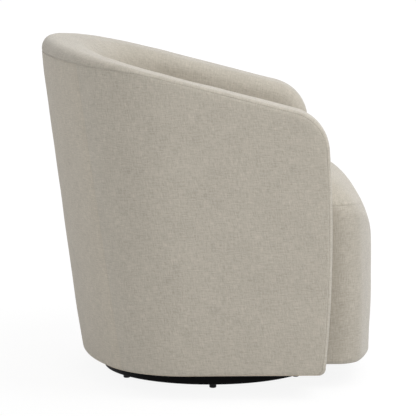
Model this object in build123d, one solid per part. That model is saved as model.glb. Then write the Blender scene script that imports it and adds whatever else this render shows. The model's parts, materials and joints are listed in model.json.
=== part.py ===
from build123d import *
import os
from math import atan2, cos, pi, radians, sin, sqrt, tan

# Swivel barrel chair. Millimetres, +Z up, the floor is z = 0, the swivel axis is x = y = 0
# and the open front of the seat faces -Y. Right and left are those of the person in the chair,
# so the right arm stands at -X.

# ---------------------------------------------------------------- padded shell
shell_bottom = 50.0            # underside of the upholstered body
rear_seam_height = 690.0       # height at which the upper outline is given
bottom_half_width = 337.0      # half width of the shell at shell_bottom
top_half_width = 371.0         # half width of the shell at rear_seam_height
bottom_rear = 277.0            # swivel axis to the back, at shell_bottom
top_rear = 360.0               # swivel axis to the back, at rear_seam_height
bottom_corner_radius = 180.0   # rear corner of the outline, low down
top_corner_radius = 228.0      # rear corner of the outline, at the rim
bottom_bow_radius = 500.0      # long arc across the back, low down
top_bow_radius = 540.0         # long arc across the back, at the rim
wall_thickness = 108.0         # padded arm and back, outside face to inside face
crest_at_axis = 644.0          # height of the sloping rim over the swivel axis
crest_slope = 14.5             # degrees, the rim falls towards the front
arm_front_low = 228.0          # axis to the arm's front edge, at its foot
arm_front_bulge = 240.0        # the same at the middle of the bowed edge
arm_front_high = 229.0         # the same at the top corner, before rounding
bulge_height = 300.0           # height of the fullest point of the front edge
arm_nose_radius = 84.0         # top front corner of each arm, seen from the side
rear_roll_radius = 38.0        # roll of the rim over the back
rear_roll_offset = 1.0         # the roll starts this far outside the rear face
outer_rim_radius = 13.0        # rim edge on the outside
inner_rim_radius = 34.0        # rim edge on the inside
side_seam_x = 277.0            # upright seam between side cover and rear cover
rim_seam_drop = 7.0            # rim seam below the crest, along the arms
rim_seam_break = 150.0         # behind this y the rim seam drops away from the crest
rear_seam_drop = 38.0          # rim seam below the crest, at the middle of the back
front_seam_inset = 8.0         # arm's front seam behind the front edge

# ---------------------------------------------------------------- seat
seat_reach = 349.5             # swivel axis to the front of the seat
seat_corner_radius = 45.0      # front corners of the seat, in plan
seat_bow_radius = 570.0        # gentle bow of the seat front, in plan
seat_side_clearance = 0.4      # side of the seat to the inside of the arm
waterfall_radius = 193.0       # round front edge of the seat, from the side
crown_height = 476.0           # top of the seat crown
crown_middle_y = 20.0          # a point on the crown between its top and the back
crown_middle_height = 473.0
crown_cross_height = 477.5     # the same crown seen from the front, a little above the side view
crown_rear_height = 462.0      # seat surface where it meets the back
shoulder_height = 465.0        # where the crown turns down to the sides
shoulder_half_width = 150.0
seat_side_swell = 4.0          # the crown's round sides end this far outside the seat's side
seat_seam_height = 390.0       # seam between the seat's top cover and its border

# ---------------------------------------------------------------- cloth, foam and boards
cloth = 2.0                    # cover cloth with its lining
slack = 0.3                    # clearance round soft pieces
board = 2.5                    # fibreboard that stiffens the cover panels
front_foam = 11.5              # foam on the fronts of the arms and of the seat box
hem = 28.0                     # cloth turned under the body
rim_pad_depth = 36.0           # foam above the top rails
piece_gap = 0.3                # gap where two pieces of foam or cloth meet
dust_cover_thickness = 1.0

# ---------------------------------------------------------------- wooden frame
frame_outer_inset = 5.0        # outside of the posts, behind the outside face
frame_inner_inset = 60.0       # inside of the posts, behind the outside face
board_gap = 0.2                # posts to the boards and webbing nailed on them
bottom_board_thickness = 18.0
top_rail_thickness = 20.0
back_split = 100.0             # y where arm pieces end and back pieces begin
post_width = 40.0
upright_spread = 185.0         # outer back uprights from the middle one
front_upright_spread = 160.0   # outer uprights under the seat front
seat_frame_top = 332.0         # top of the rails that carry the springs
seat_rail_height = 70.0
seat_rail_thickness = 22.0
rear_rail_front = 140.0        # front face of the straight rail behind the seat
corner_block_reach = 40.0      # rear corner blocks along the rear rail
corner_block_front = 20.0      # y towards which their slanted faces run
frame_screw_radius = 2.5
frame_screw_head_radius = 5.0
frame_screw_length = 55.0

# ---------------------------------------------------------------- springs and webbing
spring_count = 5
spring_pitch_x = 80.0
spring_width = 44.0
spring_step = 24.0
bend_share = 0.96              # bend radius as a share of half a step
wire_radius = 1.9
clip_size = 19.0
clip_cover = 1.2               # metal over the wire
deck_thickness = 3.0
strap_width = 50.0
strap_thickness = 2.0
strap_count = 4
strap_pitch = 95.0

# ---------------------------------------------------------------- base and swivel
glide_height = 10.0
glide_radius = 7.5
glide_ring_radius = 210.0
glide_count = 6
glide_chamfer = 1.5
glide_recess = 3.5             # the screw head sits this far up inside the glide
base_radius = 231.0
base_edge_radius = 3.0
base_thickness = 28.0
centre_hole_radius = 18.0
plate_thickness = 4.0
plate_radius = 152.0
race_radius = 120.0
ball_radius = 4.5
ball_count = 24
race_clearance = 0.05
cage_half_width = 9.0
cage_thickness = 2.0
king_bolt_radius = 6.0
king_clearance = 0.1
king_head_radius = 10.0
king_head_height = 7.0
king_bolt_tail = 2.0           # bolt beyond its nut
washer_radius = 14.0
washer_thickness = 2.5
nut_radius = 11.0              # across corners
nut_height = 8.0
plate_screw_radius = 2.25
plate_screw_head_radius = 4.5
plate_screw_head_height = 2.5
plate_screw_length = 16.0
plate_screw_count = 6
upper_screw_ring = 142.0
lower_screw_ring = 92.0
access_hole_radius = 8.0
staple_count = 44
staple_crown = 10.0
staple_wire = 0.8
staple_inset = 8.0             # staples in from the edge of the dust cover

# ---------------------------------------------------------------- derived sizes
base_top = glide_height + base_thickness
lower_plate_top = base_top + plate_thickness
board_bottom = shell_bottom + cloth
board_top = board_bottom + bottom_board_thickness
upper_plate_bottom = board_bottom - plate_thickness
ball_height = (lower_plate_top + upper_plate_bottom) / 2
rim_fall = tan(radians(crest_slope))
slope_factor = 1 / cos(radians(crest_slope))
back_lean = (top_rear - bottom_rear) / (rear_seam_height - shell_bottom)
pad_inset = cloth + slack
board_inner_inset = pad_inset + board
post_front = arm_front_low - cloth - slack - front_foam
lining_inset = frame_inner_inset + board_gap
pad_back_inset = lining_inset + board + slack
top_rail_drop = (rim_pad_depth + top_rail_thickness) * slope_factor
rail_bottom = seat_frame_top - seat_rail_height
box_board_inset = pad_inset + front_foam + slack
box_frame_inset = box_board_inset + board + board_gap
box_frame_back = box_frame_inset + seat_rail_thickness
wire_height = seat_frame_top + slack + wire_radius
deck_bottom = wire_height + wire_radius + clip_cover + slack
deck_top = deck_bottom + deck_thickness
pad_foot = seat_frame_top + slack
form_floor = shell_bottom - 60.0
form_ceiling = rear_seam_height + 110.0
span = 500.0                   # half length of every cutting prism, past the whole chair


def block(x_range, y_range, z_range):
    low = (x_range[0], y_range[0], z_range[0])
    size = (x_range[1] - x_range[0], y_range[1] - y_range[0], z_range[1] - z_range[0])
    return Pos(*low) * Box(*size, align=(Align.MIN, Align.MIN, Align.MIN))


def disc(radius, bottom, top):
    return Pos(0, 0, bottom) * Cylinder(radius, top - bottom, align=(Align.CENTER, Align.CENTER, Align.MIN))


def ring_places(count, radius, height, first_angle=0.0):
    return [
        Pos(radius * cos(first_angle + 2 * pi * i / count), radius * sin(first_angle + 2 * pi * i / count), height)
        for i in range(count)
    ]


def group(pieces):
    # Separate solids that share one node.
    solids = [solid for piece in pieces for solid in piece.solids()]
    return Compound(children=solids)


def save(name, piece):
    export_step(piece, f"parts/{name}.step")
    print(name, len(piece.solids()), "solid(s)")


# ---------------------------------------------------------------- forms of the shell
def crest(y):
    return crest_at_axis + rim_fall * y


def shell_sizes(height):
    # The shell tapers evenly from the upper outline to the lower one.
    share = (height - shell_bottom) / (rear_seam_height - shell_bottom)
    half_width = bottom_half_width + share * (top_half_width - bottom_half_width)
    rear = bottom_rear + share * (top_rear - bottom_rear)
    corner = bottom_corner_radius + share * (top_corner_radius - bottom_corner_radius)
    bow = bottom_bow_radius + share * (top_bow_radius - bottom_bow_radius)
    return half_width, rear, corner, bow


def end_points(half_width, reach, corner_radius, bow_radius):
    # Corner arc and long bow of one end of an outline, tangent to each other and to the side.
    bow_centre = reach - bow_radius
    corner_x = half_width - corner_radius
    corner_y = bow_centre + sqrt((bow_radius - corner_radius) ** 2 - corner_x ** 2)
    turn = atan2(corner_y - bow_centre, corner_x)
    side = (half_width, corner_y)
    knee = (corner_x + corner_radius * cos(turn / 2), corner_y + corner_radius * sin(turn / 2))
    join = (bow_radius * cos(turn), bow_centre + bow_radius * sin(turn))
    return side, knee, join


def end_arcs(half_width, reach, corner_radius, bow_radius, height, facing):
    # facing is 1 for the back of the chair and -1 for its front.
    side, knee, join = end_points(half_width, reach, corner_radius, bow_radius)

    def at(point, mirror=1):
        return (mirror * point[0], facing * point[1], height)

    return [
        ThreePointArc(at(side), at(knee), at(join)),
        ThreePointArc(at(join), at((0, reach)), at(join, -1)),
        ThreePointArc(at(join, -1), at(knee, -1), at(side, -1)),
    ]


def barrel(inset):
    # Everything inside the outer face of the shell, drawn in by inset. It runs on past the front.
    faces = []
    for height in (form_floor, form_ceiling):
        half_width, rear, corner, bow = shell_sizes(height)
        arcs = end_arcs(half_width - inset, rear - inset, corner - inset, bow - inset, height, 1)
        right_end = (-(half_width - inset), -span, height)
        left_end = (half_width - inset, -span, height)
        sides = [Line(arcs[2] @ 1, right_end), Line(right_end, left_end), Line(left_end, arcs[0] @ 0)]
        faces.append(Face(Wire(arcs + sides)))
    return loft(faces, ruled=True)


def seat_block(inset):
    # The seat's plan: bowed front with round corners, and a back that follows the padded wall.
    faces = []
    for height in (form_floor, form_ceiling):
        half_width, rear, corner, bow = shell_sizes(height)
        shrink = wall_thickness + seat_side_clearance + inset
        half = half_width - shrink
        back = end_arcs(half, rear - shrink, corner - shrink, bow - shrink, height, 1)
        front_sizes = (half, seat_reach - inset, seat_corner_radius - inset, seat_bow_radius - inset)
        front = end_arcs(*front_sizes, height, -1)
        sides = [Line(back[2] @ 1, front[2] @ 1), Line(front[0] @ 0, back[0] @ 0)]
        faces.append(Face(Wire(back + front + sides)))
    return loft(faces, ruled=True)


def side_prism(face):
    # A sketch whose x is the chair's y and whose y is its z, run across the whole chair.
    return extrude(Plane.YZ.offset(-span) * face, amount=2 * span)


def nearest_vertex(face, point):
    return face.vertices().sort_by_distance((point[0], point[1], 0))[0]


def below_crest(drop, foot=-span):
    # Everything under a plane that runs drop below the crest.
    corners = [(-span, foot), (span, foot), (span, crest(span) - drop), (-span, crest(-span) - drop)]
    return side_prism(make_face(Polyline(*corners, close=True)))


def above_crest(drop):
    corners = [
        (-span, crest(-span) - drop),
        (span, crest(span) - drop),
        (span, crest(span) + span),
        (-span, crest(-span) + span),
    ]
    return side_prism(make_face(Polyline(*corners, close=True)))


def wall_profile(inset):
    # Side view of the padded wall: bowed front edge, round nose, sloping crest, roll at the back.
    drop = inset * slope_factor
    nose_y = -arm_front_high + inset
    nose = (nose_y, crest(nose_y) - drop)
    foot = (-arm_front_low + inset, shell_bottom + inset)
    bulge = (-arm_front_bulge + inset, bulge_height)
    back_y = top_rear + back_lean * (crest(top_rear) - rear_seam_height) + rear_roll_offset - inset
    back = (back_y, crest(back_y) - drop)
    back_foot = (back_y - back_lean * (back[1] - foot[1]), foot[1])
    edges = [ThreePointArc(foot, bulge, nose), Line(nose, back), Line(back, back_foot), Line(back_foot, foot)]
    face = make_face(edges)
    face = fillet(nearest_vertex(face, nose), arm_nose_radius - inset)
    return fillet(nearest_vertex(face, back), rear_roll_radius - inset)


def rim_edges(body, inside):
    # Curved edges round the top and the front of the wall, on its inside or on its outside.
    middle = barrel(wall_thickness / 2).solid()
    edges = []
    for face in body.faces():
        across = face.geom_type == GeomType.CYLINDER
        crest_face = face.geom_type == GeomType.PLANE and face.normal_at().Z > 0.5
        if across or crest_face:
            edges += [edge for edge in face.edges() if edge.geom_type != GeomType.LINE]
    keep = []
    for edge in edges:
        if middle.is_inside(edge @ 0.5) == inside and edge not in keep:
            keep.append(edge)
    return keep


def wall(inset):
    # The whole padded wall, arms and back in one, drawn in by inset on every side.
    body = barrel(inset) - barrel(wall_thickness - inset)
    body = body & side_prism(wall_profile(inset))
    body = fillet(rim_edges(body, True), inner_rim_radius - inset)
    return fillet(rim_edges(body, False), outer_rim_radius - inset)


def layer(outer_inset, inner_inset):
    # A sheet or cavity between two faces parallel to the outside of the shell.
    return barrel(outer_inset) - barrel(inner_inset)


def rear_edge(x, height, inset):
    # y of the outside face at a given x, drawn in by inset.
    half_width, rear, corner, bow = shell_sizes(height)
    sizes = (half_width - inset, rear - inset, corner - inset, bow - inset)
    join = end_points(*sizes)[2]
    if abs(x) <= join[0]:
        return rear - bow + sqrt((bow - inset) ** 2 - x ** 2)
    corner_y = end_points(*sizes)[0][1]
    return corner_y + sqrt((corner - inset) ** 2 - (abs(x) - half_width + corner) ** 2)


# ---------------------------------------------------------------- forms of the seat
def seat_profile(inset):
    # Side view of the seat: upright front, waterfall edge, crown that falls a little to the back.
    front = -seat_reach + inset
    centre = (-seat_reach + waterfall_radius, crown_height - waterfall_radius)
    radius = waterfall_radius - inset
    bend = (centre[0] - radius * cos(pi / 4), centre[1] + radius * sin(pi / 4))
    top = (centre[0], crown_height - inset)
    middle = (crown_middle_y, crown_middle_height - inset)
    rear = (top_rear, crown_rear_height - inset)
    foot = shell_bottom + inset
    edges = [
        Line((front, foot), (front, centre[1])),
        ThreePointArc((front, centre[1]), bend, top),
        ThreePointArc(top, middle, rear),
        Line(rear, (rear[0], foot)),
        Line((rear[0], foot), (front, foot)),
    ]
    return make_face(edges)


def crown_prism(inset):
    # Front view of the seat: a low crown with round shoulders that end at the seam.
    edge_x = shell_sizes(seat_seam_height)[0] - wall_thickness + seat_side_swell - inset
    seam = (edge_x, seat_seam_height)
    shoulder = (shoulder_half_width, shoulder_height - inset)
    reach = edge_x - shoulder_half_width
    rise = shoulder_height - inset - seat_seam_height
    bend = (shoulder_half_width + reach * cos(pi / 4), seat_seam_height + rise * sin(pi / 4))
    foot = (edge_x, form_floor)
    mirrored = {"seam": (-seam[0], seam[1]), "shoulder": (-shoulder[0], shoulder[1]), "bend": (-bend[0], bend[1])}
    edges = [
        Line(foot, seam),
        ThreePointArc(seam, bend, shoulder),
        ThreePointArc(shoulder, (0, crown_cross_height - inset), mirrored["shoulder"]),
        ThreePointArc(mirrored["shoulder"], mirrored["bend"], mirrored["seam"]),
        Line(mirrored["seam"], (-edge_x, form_floor)),
        Line((-edge_x, form_floor), foot),
    ]
    return extrude(Plane.XZ.offset(-span) * make_face(edges), amount=2 * span)


def seat_form(inset):
    return seat_block(inset) & side_prism(seat_profile(inset)) & crown_prism(inset)


def body_plan(inset, seat_inset, bottom, top):
    # Plan of the whole body between two heights. Beside the seat it ends level with the arm posts.
    front = -post_front + inset - pad_inset
    behind_front = block((-span, span), (front, span), (bottom, top))
    plan = barrel(inset) & behind_front
    return plan + (seat_block(seat_inset) & block((-span, span), (-span, span), (bottom, top)))


# ---------------------------------------------------------------- base
def screw(radius, head_radius, head_height, length):
    # Countersunk screw that points up, with the flat of its head at the origin.
    head = Cone(head_radius, radius, head_height, align=(Align.CENTER, Align.CENTER, Align.MIN))
    shank = Cylinder(radius, length, align=(Align.CENTER, Align.CENTER, Align.MIN))
    return head + shank


def plate_screw():
    return screw(plate_screw_radius, plate_screw_head_radius, plate_screw_head_height, plate_screw_length)


def make_base():
    places = ring_places(glide_count, glide_ring_radius, 0.0)
    glide_screw_length = glide_height - glide_recess + base_thickness / 2
    glide_sizes = (plate_screw_radius, plate_screw_head_radius, plate_screw_head_height, glide_screw_length)
    glide_screws = [place * Pos(0, 0, glide_recess) * screw(*glide_sizes) for place in places]
    base = disc(base_radius, glide_height, base_top)
    base = fillet(base.edges().filter_by(GeomType.CIRCLE), base_edge_radius)
    base -= disc(centre_hole_radius, glide_height, base_top)
    access = Pos(upper_screw_ring, 0, 0) * disc(access_hole_radius, glide_height, lower_plate_top)
    base -= access
    lower_screws = [
        place * Rot(180, 0, 0) * plate_screw()
        for place in ring_places(plate_screw_count, lower_screw_ring, lower_plate_top)
    ]
    base -= group(glide_screws + lower_screws)
    glides = []
    for place, seated in zip(places, glide_screws):
        glide = disc(glide_radius, 0, glide_height)
        glide = chamfer(glide.edges().group_by(Axis.Z)[0], glide_chamfer)
        glide -= disc(plate_screw_head_radius + slack, 0, glide_recess)
        glides.append(place * glide - seated)
    plate = disc(plate_radius, base_top, lower_plate_top)
    plate -= disc(king_bolt_radius + king_clearance, base_top, lower_plate_top)
    plate -= Pos(0, 0, ball_height) * Torus(race_radius, ball_radius + race_clearance)
    plate -= access
    plate -= group(lower_screws)
    save("base_disc", base)
    save("glides", group(glides))
    save("glide_screws", group(glide_screws))
    save("lower_swivel_plate", plate)
    save("lower_plate_screws", group(lower_screws))


def make_ball_set():
    places = ring_places(ball_count, race_radius, ball_height)
    cage = disc(race_radius + cage_half_width, ball_height - cage_thickness / 2, ball_height + cage_thickness / 2)
    cage -= disc(race_radius - cage_half_width, base_top, board_bottom)
    pocket = Cylinder(ball_radius + race_clearance, 2 * cage_thickness)
    cage -= group([place * pocket for place in places])
    save("ball_cage", cage)
    save("bearing_balls", group([place * Sphere(ball_radius) for place in places]))


# ---------------------------------------------------------------- swivel side of the bearing
def upper_screw_places():
    first = pi / plate_screw_count
    return ring_places(plate_screw_count, upper_screw_ring, upper_plate_bottom, first_angle=first)


def make_upper_swivel():
    screws = [place * plate_screw() for place in upper_screw_places()]
    plate = disc(plate_radius, upper_plate_bottom, board_bottom)
    plate -= disc(king_bolt_radius, upper_plate_bottom, board_bottom)
    plate -= Pos(0, 0, ball_height) * Torus(race_radius, ball_radius + race_clearance)
    plate -= group(screws)
    nut_top = base_top - king_clearance - washer_thickness
    bolt = disc(king_bolt_radius, nut_top - nut_height - king_bolt_tail, board_bottom)
    bolt += disc(king_head_radius, board_bottom, board_bottom + king_head_height)
    washer = disc(washer_radius, nut_top, nut_top + washer_thickness)
    washer -= disc(king_bolt_radius, nut_top, nut_top + washer_thickness)
    nut = extrude(Pos(0, 0, nut_top - nut_height) * RegularPolygon(nut_radius, 6), amount=nut_height)
    nut -= disc(king_bolt_radius, 0, base_top)
    save("upper_swivel_plate", plate)
    save("upper_plate_screws", group(screws))
    save("king_bolt", bolt)
    save("king_washer", washer)
    save("king_nut", nut)
    return screws


# ---------------------------------------------------------------- frame
def frame_screw():
    return screw(frame_screw_radius, frame_screw_head_radius, frame_screw_head_radius, frame_screw_length)


def frame_screw_places():
    # One screw up through the bottom board into the foot of every post and upright.
    mid = (frame_outer_inset + frame_inner_inset) / 2
    side_x = shell_sizes(board_top)[0] - mid
    places = []
    for y in (-post_front + post_width / 2, back_split - post_width / 2):
        places += [(side_x, y), (-side_x, y)]
    for x in (-upright_spread, 0.0, upright_spread):
        places.append((x, rear_edge(x, board_top, mid)))
    for x in (-front_upright_spread, 0.0, front_upright_spread):
        places.append((x, front_rail_y(x, (box_frame_inset + box_frame_back) / 2)))
    return [Pos(x, y, board_bottom) for x, y in places]


def front_rail_y(x, inset):
    # y of the bowed seat front at a given x, drawn in by inset.
    return -(seat_reach - seat_bow_radius + sqrt((seat_bow_radius - inset) ** 2 - x ** 2))


def make_bottom_board(upper_screws, frame_screws):
    # Under the seat front the board stops at the fibreboard, so that the foam runs down in front of it.
    bottom = body_plan(pad_inset, box_board_inset, board_bottom, board_top)
    bottom -= disc(centre_hole_radius, board_bottom, board_top)
    bottom -= group(upper_screws + frame_screws)
    save("bottom_board", bottom)


def post(x_range, y_range, frame_screws):
    piece = layer(frame_outer_inset, frame_inner_inset)
    piece = piece & block(x_range, y_range, (board_top, span * 2)) & below_crest(top_rail_drop)
    return piece - group(frame_screws)


def make_posts(frame_screws):
    right = (-span, 0)
    left = (0, span)
    front_y = (-post_front, -post_front + post_width)
    middle_y = (back_split - post_width, back_split)
    save("front_posts", group([post(side, front_y, frame_screws) for side in (right, left)]))
    save("side_posts", group([post(side, middle_y, frame_screws) for side in (right, left)]))
    uprights = []
    for x in (-upright_spread, 0.0, upright_spread):
        x_range = (x - post_width / 2, x + post_width / 2)
        uprights.append(post(x_range, (back_split, span), frame_screws))
    save("back_uprights", group(uprights))


def make_top_rails():
    rail = layer(frame_outer_inset, frame_inner_inset)
    rail = rail & below_crest(rim_pad_depth * slope_factor) & above_crest(top_rail_drop)
    everywhere = (0, 2 * span)
    save("right_arm_rail", rail & block((-span, 0), (-post_front, back_split), everywhere))
    save("left_arm_rail", rail & block((0, span), (-post_front, back_split), everywhere))
    save("back_top_rail", rail & block((-span, span), (back_split, span), everywhere))


def make_seat_frame(frame_screws):
    heights = (rail_bottom, seat_frame_top)
    rail_back_inset = frame_inner_inset + seat_rail_thickness
    side = layer(frame_inner_inset, rail_back_inset)
    side = side & block((-span, span), (-post_front, rear_rail_front), heights)
    save("right_seat_rail", side & block((-span, 0), (-span, span), heights))
    save("left_seat_rail", side & block((0, span), (-span, span), heights))
    rear_y = (rear_rail_front, rear_rail_front + seat_rail_thickness)
    save("rear_seat_rail", barrel(frame_inner_inset) & block((-span, span), rear_y, heights))
    leg_end = -post_front + post_width
    box = seat_block(box_frame_inset) - seat_block(box_frame_back)
    save("front_seat_rail", box & block((-span, span), (-span, leg_end), heights))
    uprights = []
    for x in (-front_upright_spread, 0.0, front_upright_spread):
        x_range = (x - post_width / 2, x + post_width / 2)
        upright = box & block(x_range, (-span, -post_front), (board_top, rail_bottom))
        uprights.append(upright - group(frame_screws))
    save("front_uprights", group(uprights))
    # Front blocks fill between the seat front's legs and the side rails.
    filler = barrel(rail_back_inset) - seat_block(box_frame_inset)
    filler = filler & block((-span, span), (-post_front, leg_end), heights)
    # Rear blocks are right-angled, with one face on the side rail and one on the rear rail.
    half_inner = shell_sizes(rail_bottom)[0] - rail_back_inset
    blocks = list(filler.solids())
    for hand in (1, -1):
        outer_x = hand * (half_inner + 2 * post_width)
        inner_x = hand * (half_inner - corner_block_reach)
        tips = [(outer_x, rear_rail_front), (inner_x, rear_rail_front), (outer_x, corner_block_front)]
        wedge = extrude(Pos(0, 0, rail_bottom) * make_face(Polyline(*tips, close=True)), amount=seat_rail_height)
        blocks += list((wedge & barrel(rail_back_inset)).solids())
    save("corner_blocks", group(blocks))


# ---------------------------------------------------------------- springs
def spring_columns():
    middle = (spring_count - 1) / 2
    return [(i - middle) * spring_pitch_x for i in range(spring_count)]


def spring_ends(x):
    # The ends lie over the middles of the front rail and the rear rail.
    front = front_rail_y(x, (box_frame_inset + box_frame_back) / 2)
    return front, rear_rail_front + seat_rail_thickness / 2


def seat_spring(x):
    # Zigzag wire from rail to rail: straight runs across, joined by quarter turns.
    front, rear = spring_ends(x)
    turns = 2 * round((rear - front) / spring_step / 2)
    step = (rear - front) / turns
    corners = []
    for i in range(turns + 1):
        sides = (-1, 1) if i % 2 == 0 else (1, -1)
        corners += [(x + side * spring_width / 2, front + i * step, wire_height) for side in sides]
    path = FilletPolyline(*corners, radius=step / 2 * bend_share)
    start = Plane(origin=path @ 0, z_dir=path % 0)
    wire = sweep(start * Circle(wire_radius), path=path)
    expected = pi * wire_radius ** 2 * path.length
    print("spring at", x, "wire", round(path.length), "mm, volume share", round(wire.volume / expected, 4))
    return wire


def spring_clip(x, y):
    # Metal clip nailed to a rail, with a channel for the last run of the wire.
    top = wire_height + wire_radius + clip_cover
    clip = block((x - clip_size / 2, x + clip_size / 2), (y - clip_size / 2, y + clip_size / 2), (seat_frame_top, top))
    channel = Pos(x, y, wire_height) * Rot(0, 90, 0) * Cylinder(wire_radius + slack, 2 * clip_size)
    way_in = block((x - clip_size, x + clip_size), (y - wire_radius - slack, y + wire_radius + slack),
                   (seat_frame_top, wire_height))
    return clip - channel - way_in


def make_springs():
    springs = [seat_spring(x) for x in spring_columns()]
    clips = [spring_clip(x, y) for x in spring_columns() for y in spring_ends(x)]
    save("seat_springs", group(springs))
    save("spring_clips", group(clips))


# ---------------------------------------------------------------- seat upholstery
def make_seat():
    everywhere = (-span, span)
    deck = seat_block(box_board_inset) & block(everywhere, everywhere, (deck_bottom, deck_top))
    save("spring_deck", deck)
    foam_foot = deck_top + slack
    form = seat_form(pad_inset)
    save("seat_foam", form & block(everywhere, everywhere, (foam_foot, 2 * span)))
    front_zone = block(everywhere, (-span, -post_front), (board_bottom, foam_foot - slack))
    front_pad = (form - seat_block(box_board_inset - slack)) & front_zone
    save("seat_front_pad", front_pad)
    stiffener = seat_block(box_board_inset) - seat_block(box_board_inset + board)
    save("seat_front_board", stiffener & block(everywhere, (-span, -post_front), (board_top, seat_frame_top)))
    skin = seat_form(0) - seat_form(cloth)
    seam_gap = piece_gap / 2
    # The border ends between the seat and the arm fronts, and the top cover runs on from there.
    tucked = -post_front - slack
    top_zone = block(everywhere, everywhere, (seat_seam_height + seam_gap, 2 * span))
    top_zone += block(everywhere, (tucked + piece_gap, span), (foam_foot, 2 * span))
    save("seat_top_cover", skin & top_zone)
    border = skin & block(everywhere, (-span, tucked), (0, seat_seam_height - seam_gap))
    border -= seat_block(hem) & block(everywhere, everywhere, (0, board_bottom))
    save("seat_border_cover", border)


# ---------------------------------------------------------------- wall upholstery
def make_linings():
    # Boards under the arm pads and straps under the back pad, nailed to the posts and uprights.
    inner = below_crest(top_rail_drop) & block((-span, span), (-span, span), (pad_foot, 2 * span))
    lining = layer(lining_inset, lining_inset + board) & inner
    save("right_arm_board", lining & block((-span, 0), (-post_front, back_split), (0, 2 * span)))
    save("left_arm_board", lining & block((0, span), (-post_front, back_split), (0, 2 * span)))
    webbing = layer(lining_inset, lining_inset + strap_thickness) & below_crest(rim_pad_depth * slope_factor)
    straps = []
    for i in range(strap_count):
        x = (i - (strap_count - 1) / 2) * strap_pitch
        zone = block((x - strap_width / 2, x + strap_width / 2), (back_split, span), (rail_bottom, 2 * span))
        straps.append(webbing & zone)
    save("back_webbing", group(straps))


def make_pads():
    rim_foot = rim_pad_depth * slope_factor
    core = wall(pad_inset)
    sheet = layer(pad_back_inset, wall_thickness - pad_inset) & below_crest(rim_foot + slack) & core
    half_gap = piece_gap / 2
    arm_y = (-post_front, back_split - half_gap)
    back_y = (back_split + half_gap, span)
    heights = (deck_top, 2 * span)
    save("right_arm_pad", sheet & block((-span, 0), arm_y, heights))
    save("left_arm_pad", sheet & block((0, span), arm_y, heights))
    save("back_pad", sheet & block((-span, span), back_y, heights))
    rim = core & above_crest(rim_foot - slack)
    save("right_rim_pad", rim & block((-span, 0), (-span, back_split - half_gap), heights))
    save("left_rim_pad", rim & block((0, span), (-span, back_split - half_gap), heights))
    save("back_rim_pad", rim & block((-span, span), back_y, heights))
    front = core & below_crest(rim_foot)
    front_y = (-span, -post_front - slack)
    front_heights = (board_bottom, 2 * span)
    save("right_arm_front_pad", front & block((-span, 0), front_y, front_heights))
    save("left_arm_front_pad", front & block((0, span), front_y, front_heights))


def cover_profile(grow):
    # Side view of the outside covers: a front seam, and a rim seam that drops away at the back.
    front = -arm_front_low + front_seam_inset - grow
    bulge = (-arm_front_bulge + front_seam_inset - grow, bulge_height)
    nose_y = -arm_front_high + front_seam_inset - grow
    nose = (nose_y, crest(nose_y) - rim_seam_drop + grow)
    turn = (rim_seam_break, crest(rim_seam_break) - rim_seam_drop + grow)
    back = (top_rear, crest(top_rear) - rear_seam_drop + grow)
    past = (span, back[1] + (back[1] - turn[1]) / (back[0] - turn[0]) * (span - back[0]))
    foot = board_bottom - grow
    edges = [ThreePointArc((front, foot), bulge, nose), Polyline(nose, turn, past, (span, foot), (front, foot))]
    return fillet(nearest_vertex(make_face(edges), nose), arm_nose_radius - front_seam_inset + grow)


def make_covers():
    half_gap = piece_gap / 2
    panels = layer(0, cloth) & side_prism(cover_profile(0))
    heights = (0, 2 * span)
    rear_zone = block((-side_seam_x + half_gap, side_seam_x - half_gap), (0, span), heights)
    save("rear_cover", panels & rear_zone)
    save("left_cover", panels & block((side_seam_x + half_gap, span), (-span, span), heights))
    save("right_cover", panels & block((-span, -side_seam_x - half_gap), (-span, span), heights))
    outside = layer(-cloth, pad_inset) & side_prism(cover_profile(piece_gap))
    cover = wall(0) - wall(cloth) - outside
    behind_fronts = (-post_front - slack, span)
    cover -= barrel(wall_thickness - inner_rim_radius) & block((-span, span), behind_fronts, (0, deck_top))
    cover -= barrel(hem) & block((-span, span), behind_fronts, (0, board_bottom))
    save("inner_cover", cover)


def make_outer_boards():
    boards = layer(pad_inset, board_inner_inset) & below_crest((rear_roll_radius + pad_inset) * slope_factor)
    half_gap = piece_gap / 2
    heights = (board_top, 2 * span)
    save("rear_board", boards & block((-side_seam_x + half_gap, side_seam_x - half_gap), (0, span), heights))
    save("left_board", boards & block((side_seam_x + half_gap, span), (-post_front, span), heights))
    save("right_board", boards & block((-span, -side_seam_x - half_gap), (-post_front, span), heights))


def make_dust_cover():
    bottom = board_bottom - dust_cover_thickness
    edge = hem + slack
    sheet = body_plan(edge, edge, bottom, board_bottom)
    sheet -= disc(plate_radius + slack, bottom, board_bottom)
    rim = body_plan(edge + staple_inset, edge + staple_inset, bottom, board_bottom)
    outline_wire = rim.faces().sort_by(Axis.Z)[0].outer_wire()
    staples = []
    for i in range(staple_count):
        place = outline_wire.location_at((i + 0.5) / staple_count)
        heading = atan2(place.position.Y - (outline_wire @ (i / staple_count)).Y,
                        place.position.X - (outline_wire @ (i / staple_count)).X)
        staple = Box(staple_crown, staple_wire, staple_wire, align=(Align.CENTER, Align.CENTER, Align.MAX))
        turned = Rot(0, 0, heading * 180 / pi) * staple
        staples.append(Pos(place.position.X, place.position.Y, bottom) * turned)
    save("dust_cover", sheet)
    save("dust_cover_staples", group(staples))


def main():
    os.makedirs("parts", exist_ok=True)
    make_base()
    make_ball_set()
    upper_screws = make_upper_swivel()
    frame_screws = [place * frame_screw() for place in frame_screw_places()]
    save("frame_screws", group(frame_screws))
    make_bottom_board(upper_screws, frame_screws)
    make_posts(frame_screws)
    make_top_rails()
    make_seat_frame(frame_screws)
    make_springs()
    make_seat()
    make_linings()
    make_pads()
    make_covers()
    make_outer_boards()
    make_dust_cover()


main()
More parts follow.
